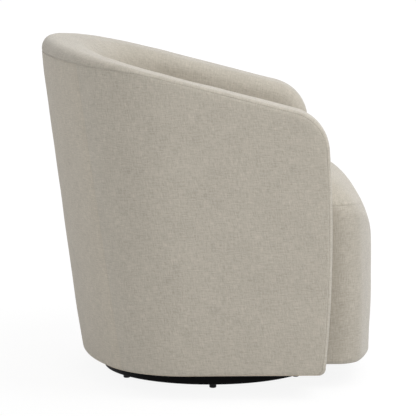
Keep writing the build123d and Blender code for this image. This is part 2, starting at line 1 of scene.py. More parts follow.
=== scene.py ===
# Swivel barrel chair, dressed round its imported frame. Metres, +Z up, the open front faces -Y.
import bpy
import numpy as np
from math import cos, pi, radians, sin, tan
from mathutils import Matrix, Vector
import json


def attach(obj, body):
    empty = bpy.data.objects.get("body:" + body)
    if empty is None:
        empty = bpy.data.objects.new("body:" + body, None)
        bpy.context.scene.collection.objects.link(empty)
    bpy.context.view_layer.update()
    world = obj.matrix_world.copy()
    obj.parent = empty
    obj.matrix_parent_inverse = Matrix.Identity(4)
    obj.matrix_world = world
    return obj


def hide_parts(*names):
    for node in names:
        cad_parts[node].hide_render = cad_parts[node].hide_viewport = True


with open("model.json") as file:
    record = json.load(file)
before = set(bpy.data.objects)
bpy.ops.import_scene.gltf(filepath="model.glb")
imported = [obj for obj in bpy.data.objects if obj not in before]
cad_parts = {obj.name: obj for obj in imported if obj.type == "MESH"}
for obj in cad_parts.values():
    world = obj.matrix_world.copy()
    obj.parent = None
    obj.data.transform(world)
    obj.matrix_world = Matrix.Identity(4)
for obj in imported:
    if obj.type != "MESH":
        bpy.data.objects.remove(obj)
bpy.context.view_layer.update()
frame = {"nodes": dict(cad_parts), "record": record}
print("frame loaded:", len(frame["nodes"]), "nodes")

# the view from the chair's right side, 8 degrees above it
camera = {
    "place": (-5.1, 0.1558, 1.0928),
    "down": 0.14412,          # radians below level
    "turn": 0.029761,         # radians off the chair's X axis
    "lens": 204.86,
    "sensor": 36.0,
}


def makeCamera():
    # looks along +X, turned towards -Y and tipped down by the two angles
    data = bpy.data.cameras.new("camera")
    data.lens = camera["lens"]
    data.sensor_width = camera["sensor"]
    data.clip_start = 0.1
    data.clip_end = 100.0
    eye = bpy.data.objects.new("camera", data)
    down, turn = camera["down"], camera["turn"]
    forward = Vector((cos(turn) * cos(down), -sin(turn) * cos(down), -sin(down)))
    right = Vector((-sin(turn), -cos(turn), 0.0))
    up = right.cross(forward)
    axes = Matrix((right, up, -forward)).transposed()
    eye.matrix_world = Matrix.Translation(camera["place"]) @ axes.to_4x4()
    bpy.context.scene.collection.objects.link(eye)
    bpy.context.scene.camera = eye


makeCamera()

# the padded shell's outline, as the frame has it
shell = {
    "bottom": 0.050, "seamHeight": 0.690,
    "halfWidth": (0.337, 0.371),     # at the bottom and at seamHeight
    "rear": (0.277, 0.360),
    "corner": (0.180, 0.228),
    "bow": (0.500, 0.540),
    "thickness": 0.108,
    "crestAtAxis": 0.644, "crestSlope": radians(14.5),
    "frontLow": 0.228, "frontBulge": 0.240, "frontHigh": 0.2275, "bulgeHeight": 0.300,
    "noseRadius": 0.091,
    "outerRoll": 0.013, "rearRoll": 0.038, "innerRoll": 0.034,
    "rollFrom": 0.08, "rollTo": 0.33,    # path values between which the outer roll grows fat
    "sideSeamX": 0.277,
    "rimSeamDrop": 0.007, "rearSeamDrop": 0.038, "seamBreak": 0.150, "seamSoftness": 0.035,
    "frontSeam": 0.008,
    "footCorner": 0.015,     # round of the arm's lower front corner in the side view
}
straightEnd = 0.078      # path value where the straight side ends
straightStart = -0.120   # in front of this the path value is y itself
curveLength = 0.430      # path length of the corner and half the back
pathEnd = straightEnd + curveLength
crestAngle = pi / 2 + shell["crestSlope"]


def mixed(low, high, share):
    return low + (high - low) * share


def smoothStep(x, low, high):
    # 0 below low, 1 above high, with a cubic S between them
    t = np.clip((x - low) / (high - low), 0, 1)
    return t * t * (3 - 2 * t)


def fadeIn(distance, reach):
    # 0 at a seam or an edge, close to 1 a few reaches away from it
    return 1 - np.exp(-distance / reach)


def planForm(height):
    # Half width, corner and bow radii of the outline at that height, and its arcs' centres. Every
    # size runs in a straight line from its lower value to its upper one.
    share = (height - shell["bottom"]) / (shell["seamHeight"] - shell["bottom"])
    halfWidth, rear, corner, bow = (mixed(*shell[k], share) for k in ("halfWidth", "rear", "corner", "bow"))
    bowCentre, cornerX = rear - bow, halfWidth - corner
    cornerY = bowCentre + np.sqrt((bow - corner) ** 2 - cornerX ** 2)
    return halfWidth, corner, bow, bowCentre, cornerX, cornerY


def planPoint(path, height, inset):
    # Path runs along the outline from the front of one arm: y itself on the side, then along the
    # corner arc and the bow of the back. Gives x and y of its point, drawn in by inset.
    halfWidth, corner, bow, bowCentre, cornerX, cornerY = planForm(height)
    turn = np.arctan2(cornerY - bowCentre, cornerX)
    arc = corner * turn
    total = arc + bow * (pi / 2 - turn)
    stretch = (cornerY - straightStart) / (straightEnd - straightStart)
    sideY = np.where(path < straightStart, path, straightStart + (path - straightStart) * stretch)
    along = (path - straightEnd) / curveLength * total
    angle = np.where(along < arc, along / corner, turn + (along - arc) / bow)
    angle = np.where(path < straightEnd, 0.0, angle)
    onBow = (path >= straightEnd) & (along >= arc)
    radius = np.where(onBow, bow, corner) - inset
    x = np.where(onBow, 0.0, cornerX) + radius * np.cos(angle)
    y = np.where(onBow, bowCentre, cornerY) + radius * np.sin(angle)
    return x, np.where(path < straightEnd, sideY, y)


def shellPoint(path, height, inset):
    # the outline's point at that height, in space
    x, y = planPoint(path, height, inset)
    return np.stack([x, y, height], axis=-1)


def wallDistance(x, y, height, inset):
    # signed distances to the barrel's straight side and to its whole wall, both drawn in by inset
    halfWidth, corner, bow, bowCentre, cornerX, cornerY = planForm(height)
    across = np.abs(x)
    side = across - (halfWidth - inset)
    onBow = np.arctan2(y - bowCentre, across) > np.arctan2(cornerY - bowCentre, cornerX)
    arc = np.hypot(np.maximum(across - cornerX, 1e-6), y - cornerY) - (corner - inset)
    rear = np.where(onBow, np.hypot(across, y - bowCentre) - (bow - inset), arc)
    return side, np.where(y < cornerY, side, rear)


def crest(y):
    # height of the sloping rim
    return shell["crestAtAxis"] + tan(shell["crestSlope"]) * y


def arcThrough(low, middle, high):
    # centre and radius of the circle through three points of the side view
    (ax, ay), (bx, by), (cx, cy) = low, middle, high
    d = 2 * (ax * (by - cy) + bx * (cy - ay) + cx * (ay - by))
    a2, b2, c2 = ax * ax + ay * ay, bx * bx + by * by, cx * cx + cy * cy
    ux = (a2 * (by - cy) + b2 * (cy - ay) + c2 * (ay - by)) / d
    uy = (a2 * (cx - bx) + b2 * (ax - cx) + c2 * (bx - ax)) / d
    return (ux, uy), ((ax - ux) ** 2 + (ay - uy) ** 2) ** 0.5


def sideProfile(inset, drop, radius):
    # Front edge, nose and crest of an arm in the side view, drawn in by inset and drop.
    slope = shell["crestSlope"]
    noseY = -shell["frontHigh"] + inset
    low = (-shell["frontLow"] + inset, shell["bottom"])
    bulge = (-shell["frontBulge"] + inset, shell["bulgeHeight"])
    high = (noseY, crest(noseY) - drop)
    centre, frontRadius = arcThrough(low, bulge, high)
    # the nose circle touches the crest line from below and the front arc from behind
    lineDrop = drop + radius / cos(slope)
    base = crest(0.0) - lineDrop - centre[1]
    a = 1 + tan(slope) ** 2
    b = 2 * (tan(slope) * base - centre[0])
    c = centre[0] ** 2 + base ** 2 - (frontRadius - radius) ** 2
    noseCentreY = (-b - (b * b - 4 * a * c) ** 0.5) / (2 * a)
    noseCentre = (noseCentreY, crest(noseCentreY) - lineDrop)
    endAngle = np.arctan2(noseCentre[1] - centre[1], noseCentre[0] - centre[0]) % (2 * pi)
    return {"centre": centre, "frontRadius": frontRadius, "noseCentre": noseCentre,
            "radius": radius, "endAngle": endAngle}


rim = sideProfile(0.0, 0.0, shell["noseRadius"])


def edgeDepth(y, z):
    # how far a point of the side view lies inside the edge that runs up the front and along the crest
    slope = shell["crestSlope"]
    crestDepth = (crest(y) - z) * cos(slope)
    frontDepth = rim["frontRadius"] - np.hypot(y - rim["centre"][0], z - rim["centre"][1])
    noseY, noseZ = y - rim["noseCentre"][0], z - rim["noseCentre"][1]
    upward = noseZ * cos(slope) - noseY * sin(slope)
    inNose = (noseY * cos(slope) + noseZ * sin(slope) < 0) & (noseZ > -0.05 * noseY) & (upward > 0)
    return np.where(inNose, rim["radius"] - np.hypot(noseY, noseZ), np.minimum(crestDepth, frontDepth))


def rollInset(depth, roll):
    # a quarter round: how far the face has turned in at that depth below the edge
    return roll * (1 - np.sqrt(1 - np.clip((roll - depth) / roll, 0, 1) ** 2))


def outerRoll(path):
    # the roll of the rim grows fat towards the back
    share = smoothStep(path, shell["rollFrom"], shell["rollTo"])
    return mixed(shell["outerRoll"], shell["rearRoll"], share)


def halving(low, high, beyond, rounds):
    # the last value before beyond turns true, closed in on by halving the span
    for _ in range(rounds):
        middle = (low + high) / 2
        past = beyond(middle)
        low, high = np.where(past, low, middle), np.where(past, middle, high)
    return low


# finest spacing of the grids beside a seam, and how fast it grows with the distance from it
grid = {"fine": 0.0006, "growth": 0.22}
seamWidth = 0.004        # distance over which a seam's mark on the cloth fades: its stitches and its painted shade


def spaced(length, coarse, fineStart=True, fineEnd=True):
    # values from 0 to 1 whose steps are fine beside a seam and grow away from it
    s = np.linspace(0, length, 4000)
    step = np.full_like(s, coarse)
    if fineStart:
        step = np.minimum(step, grid["fine"] + grid["growth"] * s)
    if fineEnd:
        step = np.minimum(step, grid["fine"] + grid["growth"] * (length - s))
    count = np.concatenate([[0], np.cumsum((s[1] - s[0]) / (0.5 * (step[1:] + step[:-1])))])
    n = int(np.ceil(count[-1])) + 1
    return np.interp(np.linspace(0, count[-1], n), count, s) / length


def ripple(u, v, size, seed, waves=7):
    # smooth unevenness: a sum of sine waves of about that size in random directions
    rng = np.random.default_rng(seed)
    total = np.zeros(np.broadcast(u, v).shape)
    for _ in range(waves):
        angle, phase, scale = rng.uniform(0, pi), rng.uniform(0, 2 * pi), rng.uniform(0.7, 1.6)
        total += np.sin(2 * pi * (u * cos(angle) + v * sin(angle)) / (size * scale) + phase)
    return total / waves ** 0.5


def seamMark(distance):
    return np.exp(-distance / seamWidth)


def gridNormals(points):
    # cross product of the two grid directions
    across = np.cross(np.gradient(points, axis=0), np.gradient(points, axis=1))
    return across / np.maximum(np.linalg.norm(across, axis=2, keepdims=True), 1e-12)


def clothPlace(points):
    # a point's place on the flat cloth: the distance run to it along each grid direction
    def run(axis):
        pad = [(0, 0), (0, 0)]
        pad[axis] = (1, 0)
        return np.pad(np.cumsum(np.linalg.norm(np.diff(points, axis=axis), axis=2), axis=axis), pad)
    return np.stack([run(0), run(1)], axis=-1)


def gridFaces(index):
    return np.stack([index[:-1, :-1], index[1:, :-1], index[1:, 1:], index[:-1, 1:]], axis=2).reshape(-1, 4)


def buildMesh(name, points, quads, fans, smooth, cornerCloth, seam):
    # Faces of four corners and then of three. cornerCloth is each corner's place on the flat cloth,
    # seam is 1 at a seam and fades from it. A form that is inside out is turned.
    corners = np.concatenate([quads.ravel(), fans.ravel()])
    counts = np.repeat([4, 3], [len(quads), len(fans)])
    mesh = bpy.data.meshes.new(name)
    mesh.vertices.add(len(points))
    mesh.vertices.foreach_set("co", points.astype(np.float32).ravel())
    mesh.loops.add(len(corners))
    mesh.loops.foreach_set("vertex_index", corners.astype(np.int32))
    mesh.polygons.add(len(counts))
    mesh.polygons.foreach_set("loop_start", (np.cumsum(counts) - counts).astype(np.int32))
    mesh.polygons.foreach_set("loop_total", counts.astype(np.int32))
    mesh.update(calc_edges=True)
    mesh.polygons.foreach_set("use_smooth", smooth)
    layer = mesh.uv_layers.new(name="cloth")
    layer.data.foreach_set("uv", cornerCloth.astype(np.float32).ravel())
    mark = mesh.attributes.new("seam", "FLOAT", "POINT")
    mark.data.foreach_set("value", seam.astype(np.float32))
    mesh.validate()
    a, b, c, d = (points[quads[:, k]] for k in range(4))
    if (a * np.cross(b, c)).sum() + (a * np.cross(c, d)).sum() < 0:
        mesh.flip_normals()
    mesh.update()
    piece = bpy.data.objects.new(name, mesh)
    bpy.context.scene.collection.objects.link(piece)
    return piece


def closedPiece(name, outer, inner, cloth, seam, loop=False):
    # An outer and an inner grid of the same shape, joined along their edges into one closed form.
    # With loop, the first and last columns of each grid are the same line and are merged.
    rows, columns = outer.shape[:2]
    size = rows * columns
    points = np.concatenate([outer.reshape(-1, 3), inner.reshape(-1, 3)])
    index = np.arange(size).reshape(rows, columns)
    sides = [gridFaces(index), gridFaces(index + size)[:, ::-1]]
    edges = [index[0, :][::-1], index[-1, :]]
    if not loop:
        edges += [index[:, 0], index[:, -1][::-1]]
    strips = [np.stack([e[:-1], e[:-1] + size, e[1:] + size, e[1:]], axis=1) for e in edges]
    faces = np.concatenate(sides + strips)
    smooth = np.arange(len(faces)) < 2 * len(sides[0])
    cornerCloth = np.tile(cloth.reshape(-1, 2), (2, 1))[faces]
    seam = np.tile(seam.ravel(), 2)
    if loop:
        same = np.arange(2 * size)
        for shift in (0, size):
            same[index[:, -1] + shift] = index[:, 0] + shift
        kept, position = np.unique(same, return_inverse=True)
        points, faces, seam = points[kept], position.reshape(-1)[faces], seam[kept]
    return buildMesh(name, points, faces, np.empty((0, 3), int), smooth, cornerCloth, seam)


def loftedPiece(name, rings, cloth, seam):
    # closed rings, whose first and last columns are the same line; a fan round a middle point shuts each end
    rows, columns = rings.shape[:2]
    around = columns - 1
    size = rows * around
    ends = rings[[0, -1], :-1].mean(axis=1)
    points = np.concatenate([rings[:, :-1].reshape(-1, 3), ends])
    index = np.arange(size).reshape(rows, around)
    index = np.concatenate([index, index[:, :1]], axis=1)
    cornerCloth = cloth.reshape(-1, 2)[gridFaces(np.arange(rows * columns).reshape(rows, columns))]
    fans, fanCloth = [], []
    for end, (ring, place) in enumerate(((index[0], cloth[0]), (index[-1, ::-1], cloth[-1, ::-1]))):
        fans.append(np.stack([ring[:-1], ring[1:], np.full(around, size + end)], axis=1))
        middle = np.broadcast_to(place.mean(axis=0), (around, 2))
        fanCloth.append(np.stack([place[:-1], place[1:], middle], axis=1))
    cornerCloth = np.concatenate([part.reshape(-1, 2) for part in [cornerCloth] + fanCloth])
    quads, fans = gridFaces(index), np.concatenate(fans)
    smooth = np.ones(len(quads) + len(fans), bool)
    return buildMesh(name, points, quads, fans, smooth, cornerCloth, np.append(seam[:, :-1], [0, 0]))


# outside covers: two sides and the back
outside = {
    "puff": 0.0022,          # how far each panel swells between its seams
    "puffReach": 0.030,
    "footReach": 0.050,      # the swell begins over this height above the foot
    "crease": 0.0008,        # depth of the groove at a seam
    "creaseWidth": 0.0013,
    "uprightShare": 0.20,    # the upright seams are pressed flatter than the rim seam and their stitches and painted shade show less
    "uprightMark": 0.45,     # and show less
    "hem": 0.028,
    "footRoll": 0.008,       # round of the cloth as it turns under the body
    "thickness": 0.0022,
    "step": 0.0062,
    "uneven": 0.0007, "unevenSize": 0.12,    # slack and pull of the cloth over its boards
    "sideRun": 0.62, "sideRise": 0.55,       # rough run and rise of a side panel, for its grid
    "backRun": 0.66, "backRise": 0.60,
}
panelEdge = sideProfile(shell["frontSeam"], shell["rimSeamDrop"], shell["noseRadius"] - shell["frontSeam"])
hemTop = shell["bottom"] + outside["footRoll"]
flip = np.array([-1, 1, 1])      # from the right side to the left


def rimSeamHeight(y):
    # just under the crest along the arms, then dropping away from it towards the back
    turnY, rearY = shell["seamBreak"], shell["rear"][1]
    turnZ = crest(turnY) - shell["rimSeamDrop"]
    rearZ = crest(rearY) - shell["rearSeamDrop"]
    fallRate = tan(shell["crestSlope"]) - (rearZ - turnZ) / (rearY - turnY)
    past = y - turnY
    softPast = (past + np.sqrt(past ** 2 + shell["seamSoftness"] ** 2)) / 2
    return crest(y) - shell["rimSeamDrop"] - fallRate * softPast


def seamOnPath(path):
    # height of the rim seam at a path value, found by a few rounds of putting the height back in
    height = np.full_like(path, 0.65)
    for _ in range(12):
        height = rimSeamHeight(planPoint(path, height, 0.0)[1])
    return height


def pathOfX(x, height):
    # path value at which the outline has that x
    low, high = np.full_like(height, straightEnd), np.full_like(height, pathEnd)
    return halving(low, high, lambda path: planPoint(path, height, 0.0)[0] <= x, 40)


def seamGroove(distance):
    # a narrow valley along the seam
    return outside["crease"] * np.exp(-(distance / outside["creaseWidth"]) ** 2)


def addFoot(points, seam, path):
    # columns below a panel: the flat hem under the body, then a quarter round up to the panel
    roll = outside["footRoll"]
    turn = np.linspace(0, pi / 2, 7)[:-1]
    inset = np.concatenate([np.linspace(outside["hem"], roll, 6)[:-1], roll - roll * np.sin(turn)])
    rise = np.concatenate([np.zeros(5), roll - roll * np.cos(turn)])
    height = np.broadcast_to(shell["bottom"] + rise, (len(path), len(rise)))
    foot = shellPoint(path[:, None], height, inset)
    return np.concatenate([foot, points], axis=1), np.concatenate([np.zeros(height.shape), seam], axis=1)


def dressPanel(path, z, toEdge, toUpright):
    # the outline turned in by the rim's roll, swollen away from the seams and creased at them
    toSeam = np.minimum(toEdge, toUpright)
    slack = 0.5 + 0.5 * ripple(path, z, outside["unevenSize"], 3)
    swell = (outside["puff"] + outside["uneven"] * slack) * fadeIn(toSeam, outside["puffReach"])
    swell *= fadeIn(np.maximum(z - hemTop, 0), outside["footReach"])
    groove = np.maximum(seamGroove(toEdge), outside["uprightShare"] * seamGroove(toUpright))
    roll = rollInset(edgeDepth(planPoint(path, z, 0.0)[1], z), outerRoll(path))
    points = shellPoint(path, z, roll - swell + groove)
    seam = np.maximum(seamMark(toEdge), outside["uprightMark"] * seamMark(toUpright))
    return addFoot(points, seam, path[:, 0])


def frontSeamCurve(share):
    # the side panel's edge: round the lower corner, up the front and round the nose to its middle
    (frontY, frontZ), front = panelEdge["centre"], panelEdge["frontRadius"]
    (noseY, noseZ), nose = panelEdge["noseCentre"], panelEdge["radius"]
    corner = shell["footCorner"] - outside["footRoll"]
    cornerZ = shell["bottom"] + shell["footCorner"]
    start, end = pi + np.arcsin((frontZ - cornerZ) / front), panelEdge["endAngle"]
    cornerY = frontY + front * cos(start) + corner
    middle = (end + crestAngle) / 2
    cornerLength, frontLength = corner * pi / 2, (start - end) * front
    s = share * (cornerLength + frontLength + (end - middle) * nose) - cornerLength
    zones = [s < 0, s <= frontLength]
    angle = np.select(zones, [pi - s / corner, start - s / front], end - (s - frontLength) / nose)
    radius = np.select(zones, [corner, front], nose)
    y = np.select(zones, [cornerY, frontY], noseY) + radius * np.cos(angle)
    z = np.select(zones, [cornerZ, frontZ], noseZ) + radius * np.sin(angle)
    return y, z, middle


def coonsPatch(u, v, low, high, first, last):
    # a value inside four borders: low and high run along u, first and last run along v
    u, v = u[:, None], v[None, :]
    between = (1 - v) * low[:, None] + v * high[:, None] + (1 - u) * first[None, :] + u * last[None, :]
    corners = ((1 - u) * (1 - v) * low[0] + u * (1 - v) * low[-1]
               + (1 - u) * v * high[0] + u * v * high[-1])
    return between - corners


def sidePanel():
    # A patch in the unrolled side, between the rear seam, the foot, the front edge and the rim seam.
    # u runs from the rear seam to the front, v from the foot to the rim.
    u, v = spaced(outside["sideRun"], outside["step"]), spaced(outside["sideRise"], outside["step"])
    frontPath, frontZ, middle = frontSeamCurve(v)
    (noseY, noseZ), nose = panelEdge["noseCentre"], panelEdge["radius"]
    topZ = np.full(1, 0.68)
    for _ in range(12):
        topPath = pathOfX(shell["sideSeamX"], topZ)
        topZ = rimSeamHeight(planPoint(topPath, topZ, 0.0)[1])
    # the rim seam runs down to where the crest meets the nose, then half round the nose
    lineLength = topPath[0] - (noseY + nose * cos(crestAngle))
    s = u * (lineLength + (middle - crestAngle) * nose)
    angle = crestAngle + np.maximum(s - lineLength, 0) / nose
    rimPath = np.where(s > lineLength, noseY + nose * np.cos(angle), topPath[0] - s)
    rimZ = np.where(s > lineLength, noseZ + nose * np.sin(angle), seamOnPath(rimPath))
    rearZ = hemTop + v * (topZ[0] - hemTop)
    rearPath = pathOfX(shell["sideSeamX"], rearZ)
    footPath = rearPath[0] + u * (frontPath[0] - rearPath[0])
    path = coonsPatch(u, v, footPath, rimPath, rearPath, frontPath)
    z = coonsPatch(u, v, np.full_like(u, hemTop), rimZ, rearZ, frontZ)
    toRear, toFront = outside["sideRun"] * u[:, None], outside["sideRun"] * (1 - u[:, None])
    toRim = (1 - v) * (rimZ[:, None] - hemTop)
    return dressPanel(path, z, np.minimum(toFront, toRim), toRear)


def backPanel():
    # between the two upright seams: path and height run in even shares, round the back and up to the rim
    u = spaced(outside["backRun"], outside["step"])[:, None]
    v = spaced(outside["backRise"], outside["step"], fineStart=False)
    share = np.abs(2 * u - 1)            # 1 at the seams, 0 at the middle of the back
    z = np.full((len(u), len(v)), hemTop)
    for _ in range(12):
        path = pathEnd - share * (pathEnd - pathOfX(shell["sideSeamX"], z))
        rimZ = rimSeamHeight(planPoint(path[:, -1:], z[:, -1:], 0.0)[1])
        z = hemTop + v * (rimZ - hemTop)
    toRim = np.broadcast_to((1 - v) * outside["backRise"], z.shape)
    points, seam = dressPanel(path, z, toRim, (1 - share) * outside["backRun"] / 2)
    points[..., 0] *= np.where(u < 0.5, -1.0, 1.0)
    return points, seam


def thinInner(points, outward):
    # the same grid moved in by the cloth's thickness along its normals
    normals = gridNormals(points)
    return points - np.sign((normals * outward).sum()) * outside["thickness"] * normals


def makeOutside():
    side, seam = sidePanel()
    inner, cloth = thinInner(side, (1.0, 0.0, 0.0)), clothPlace(side)
    left = closedPiece("outsideLeft", side, inner, cloth, seam)
    right = closedPiece("outsideRight", side * flip, inner * flip, cloth, seam)
    rear, seam = backPanel()
    back = closedPiece("outsideBack", rear, thinInner(rear, (0.0, 1.0, 0.0)), clothPlace(rear), seam)
    print("outside covers made", [len(p.data.polygons) for p in (left, right, back)])
    return left, right, back


leftPanel, rightPanel, rearPanel = makeOutside()
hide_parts("left_cover")
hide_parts("right_cover")
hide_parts("rear_cover")

# one cover over the rim: fronts of the arms, crest, and down the inside
inside = {
    "crown": 0.0015,         # the crest's slight swell across its width
    "uneven": 0.0005, "unevenSize": 0.09,    # of the crest; the next pair is for the inside
    "wave": 0.0006, "waveSize": 0.11,
    "puff": 0.0045, "puffReach": 0.07,       # swell of the arms and the back towards the sitter
    # heights and y values over which that swell and the waves set in, clear of the seat
    "aboveSeat": (0.492, 0.56), "behindNose": (-0.20, -0.10), "waveFrom": (0.49, 0.53),
    "foot": 0.400, "noseFoot": 0.362, "frontFoot": 0.062,    # lower edge: behind, at the nose, in front
    "sideEnd": -0.150,       # beside the seat front the cover ends at this y
    "noseEnd": -0.128,       # and below the nose at this one
    "padBehindFront": 0.0140, "padUnderRim": 0.0362, "padStart": 0.0026, "padInside": 0.0632,
    "lining": 0.0021,
    "hem": 0.020, "tuck": 0.0003,
    "edgeRoll": 0.012, "rollHeights": (0.43, 0.56),
    "rimRun": 0.13, "insideRun": 0.30,       # rough run over the rim and down the inside, for the grid
    "step": 0.0058,
}


def bandCurve():
    # The edge line of one half: under the arm, round its lower corner, up its front, round the nose
    # and along the crest. These five stretches end at marks. All but marks are columns.
    (frontY, frontZ), front = rim["centre"], rim["frontRadius"]
    (noseY, noseZ), nose = rim["noseCentre"], rim["radius"]
    corner, bottom = shell["footCorner"], shell["bottom"]
    start, end = pi + np.arcsin((frontZ - bottom - corner) / front), rim["endAngle"]
    cornerY, tangentY = frontY + front * cos(start) + corner, noseY + nose * cos(crestAngle)
    lengths = [inside["hem"], corner * pi / 2, (start - end) * front,
               (end - crestAngle) * nose, pathEnd - tangentY]
    marks = np.concatenate([[0], np.cumsum(lengths)])
    s = spaced(marks[-1], inside["step"], fineStart=False, fineEnd=False) * marks[-1]
    # the hem and the corner have points of their own, and the hem's last one meets the corner's first
    hemRun, cornerRun = np.linspace(0, marks[1] - 1e-6, 5), np.linspace(marks[1] + 1e-6, marks[2], 9)
    s = np.concatenate([hemRun, cornerRun, s[s > marks[2] + 0.002]])[:, None]
    zone = np.clip(np.searchsorted(marks, s, side="right") - 1, 0, 4)
    along = s - marks[zone]
    level = np.where(zone == 0, cornerY + inside["hem"] - along, tangentY + along)
    turns = [zone == 1, zone == 2, zone == 3]
    angle = np.select(turns, [-pi / 2 - along / corner, start - along / front, end - along / nose],
                      np.where(zone == 0, -pi / 2, crestAngle))
    radius = np.select(turns, [corner, front, nose], 0.0)
    y = np.select(turns, [cornerY, frontY, noseY], level) + radius * np.cos(angle)
    z = np.select(turns, [bottom + corner, frontZ, noseZ], bottom + inside["tuck"]) + radius * np.sin(angle)
    onCrest = zone == 4
    return {"s": s, "marks": marks, "onHem": zone == 0, "onCrest": onCrest, "y": y,
            "z": np.where(onCrest, crest(y), z), "outY": np.cos(angle), "outZ": np.sin(angle)}


def onBand(band, inset, depth):
    # path and height at that inset and depth: off the band's edge in front, under the crest behind
    fade = np.where(band["onCrest"], 1 - smoothStep(band["y"], straightStart, straightEnd), 1.0)
    path = band["y"] - band["outY"] * depth * fade
    z = band["z"] - band["outZ"] * depth
    for _ in range(8):
        y = planPoint(path, z, inset)[1]
        z = np.where(band["onCrest"], crest(y) - depth / cos(shell["crestSlope"]), z)
    return path, z


def rimSection(band, across):
    # The cover's section across the band, as inset and depth at the distance d from its seam: a round
    # over the outer edge, a slightly crowned flat and a quarter round over the inner edge. Across runs
    # from 0 at the seam to 1 at the end of the inner round.
    s, marks, y, slope = band["s"], band["marks"], band["y"], shell["crestSlope"]
    seamY = planPoint(np.maximum(y, 0), np.full_like(y, 0.66), 0.0)[1]
    crestSeam = np.where(y > 0, crest(seamY) - rimSeamHeight(seamY), shell["rimSeamDrop"]) * cos(slope)
    seamDepth = mixed(shell["frontSeam"], crestSeam, smoothStep(s, marks[3], marks[4]))
    # under the arm the cover lies above the side panel's hem, so its seam ends at the corner
    seamDepth = np.where(band["onHem"], 0.0002, seamDepth)
    footShare = smoothStep(s, marks[1], marks[2] + 0.03)
    rollOut = mixed(outside["footRoll"], outerRoll(y), footShare)
    rollOut = np.maximum(rollOut, seamDepth * 1.01)
    # the inner edge is tight beside the seat and grows round above it
    rollIn = mixed(inside["edgeRoll"], shell["innerRoll"], smoothStep(band["z"], *inside["rollHeights"]))
    rimShare = smoothStep(s, marks[2], marks[3] + 0.06)
    padDepth = mixed(inside["padBehindFront"], inside["padUnderRim"], rimShare)
    padDepth = mixed(inside["lining"], padDepth, footShare)
    firstAngle = np.arcsin(1 - seamDepth / rollOut)
    flat = shell["thickness"] - rollOut - rollIn
    lengthOut = (pi / 2 - firstAngle) * rollOut
    length = lengthOut + flat + rollIn * pi / 2
    d = across * length
    alpha = firstAngle + d / rollOut
    beta = (d - (lengthOut + flat)) / rollIn
    zones = [beta >= 0, d < lengthOut]
    share = np.clip((d - lengthOut) / flat, 0, 1)
    innerInset = shell["thickness"] - rollIn * (1 - np.sin(beta))
    inset = np.select(zones, [innerInset, rollOut * (1 - np.cos(alpha))], rollOut + d - lengthOut)
    depth = np.select(zones, [rollIn * (1 - np.cos(beta)), rollOut * (1 - np.sin(alpha))],
                      -inside["crown"] * np.sin(pi * share) ** 2)
    return inset, depth, d, length, rollIn, padDepth


def insideFoot(band):
    # path and height of the cover's lower edge, below the seat and beside its front
    s, marks = band["s"], band["marks"]
    path = mixed(inside["sideEnd"], inside["noseEnd"], smoothStep(s, marks[3], marks[4]))
    crestShare = np.clip((s - marks[4]) / (marks[5] - marks[4]), 0, 1)
    path = np.where(band["onCrest"], mixed(inside["noseEnd"], pathEnd, crestShare), path)
    heights = [inside["frontFoot"], inside["noseFoot"], inside["foot"]]
    return path, np.interp(s, [0, marks[3], marks[4]], heights)


def insideGrids():
    # the cover's outer grid over the rim and down the inside, and the hidden face of its padding
    band = bandCurve()
    across = spaced(inside["rimRun"], inside["step"], fineEnd=False)
    inset, depth, d, length, rollIn, padDepth = rimSection(band, across)
    path, z = onBand(band, inset, depth)
    overRim = shellPoint(path, z, inset + seamGroove(d))
    uneven = inside["uneven"] * ripple(band["s"], d, inside["unevenSize"], 5) * fadeIn(d, 0.02)
    overRim[..., 2] += np.where(band["onCrest"], uneven, 0)

    down = spaced(inside["insideRun"], inside["step"], fineStart=False, fineEnd=False)[1:]
    footPath, footZ = insideFoot(band)
    startPath, startZ = onBand(band, shell["thickness"], rollIn)
    path, z = mixed(startPath, footPath, down), mixed(startZ, footZ, down)
    below = np.hypot(path - startPath, z - startZ)
    swell = inside["puff"] * fadeIn(below, inside["puffReach"]) * smoothStep(z, *inside["aboveSeat"])
    swell *= smoothStep(path, *inside["behindNose"])
    swell += inside["wave"] * ripple(path, z, inside["waveSize"], 8) * smoothStep(z, *inside["waveFrom"])
    outer = np.concatenate([overRim, shellPoint(path, z, shell["thickness"] + swell)], axis=1)

    # the hidden face lies in front of the posts, over the rails and before the boards
    inset = np.broadcast_to(mixed(inside["padStart"], inside["padInside"], across), depth.shape)
    path, z = onBand(band, inset, np.maximum(depth, padDepth))
    underRim = shellPoint(path, z, inset)
    startPath, startZ = onBand(band, inside["padInside"], np.maximum(rollIn, padDepth))
    path, z = mixed(startPath, footPath, down), mixed(startZ, footZ, down)
    inner = np.concatenate([underRim, shellPoint(path, z, inside["padInside"])], axis=1)
    seam = np.concatenate([seamMark(d), np.zeros_like(below)], axis=1)
    run = np.concatenate([d, length + below], axis=1)
    return outer, inner, np.stack(np.broadcast_arrays(band["s"], run), axis=-1), seam


def bothHalves(half, other):
    # rows of the one half, then of the other, with the middle row only once
    return np.concatenate([half, other[::-1][1:]])


def makeInside():
    outer, inner, cloth, seam = insideGrids()
    otherCloth = np.array([2 * cloth[-1, :, 0].max(), 0]) + cloth * np.array([-1, 1])
    piece = closedPiece("insideCover", bothHalves(outer, outer * flip), bothHalves(inner, inner * flip),
                        bothHalves(cloth, otherCloth), bothHalves(seam, seam))
    print("inside cover made", len(piece.data.polygons))
    return piece


insideCover = makeInside()
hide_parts("inner_cover", "right_arm_pad", "left_arm_pad", "back_pad", "right_rim_pad",
            "left_rim_pad", "back_rim_pad", "right_arm_front_pad", "left_arm_front_pad")

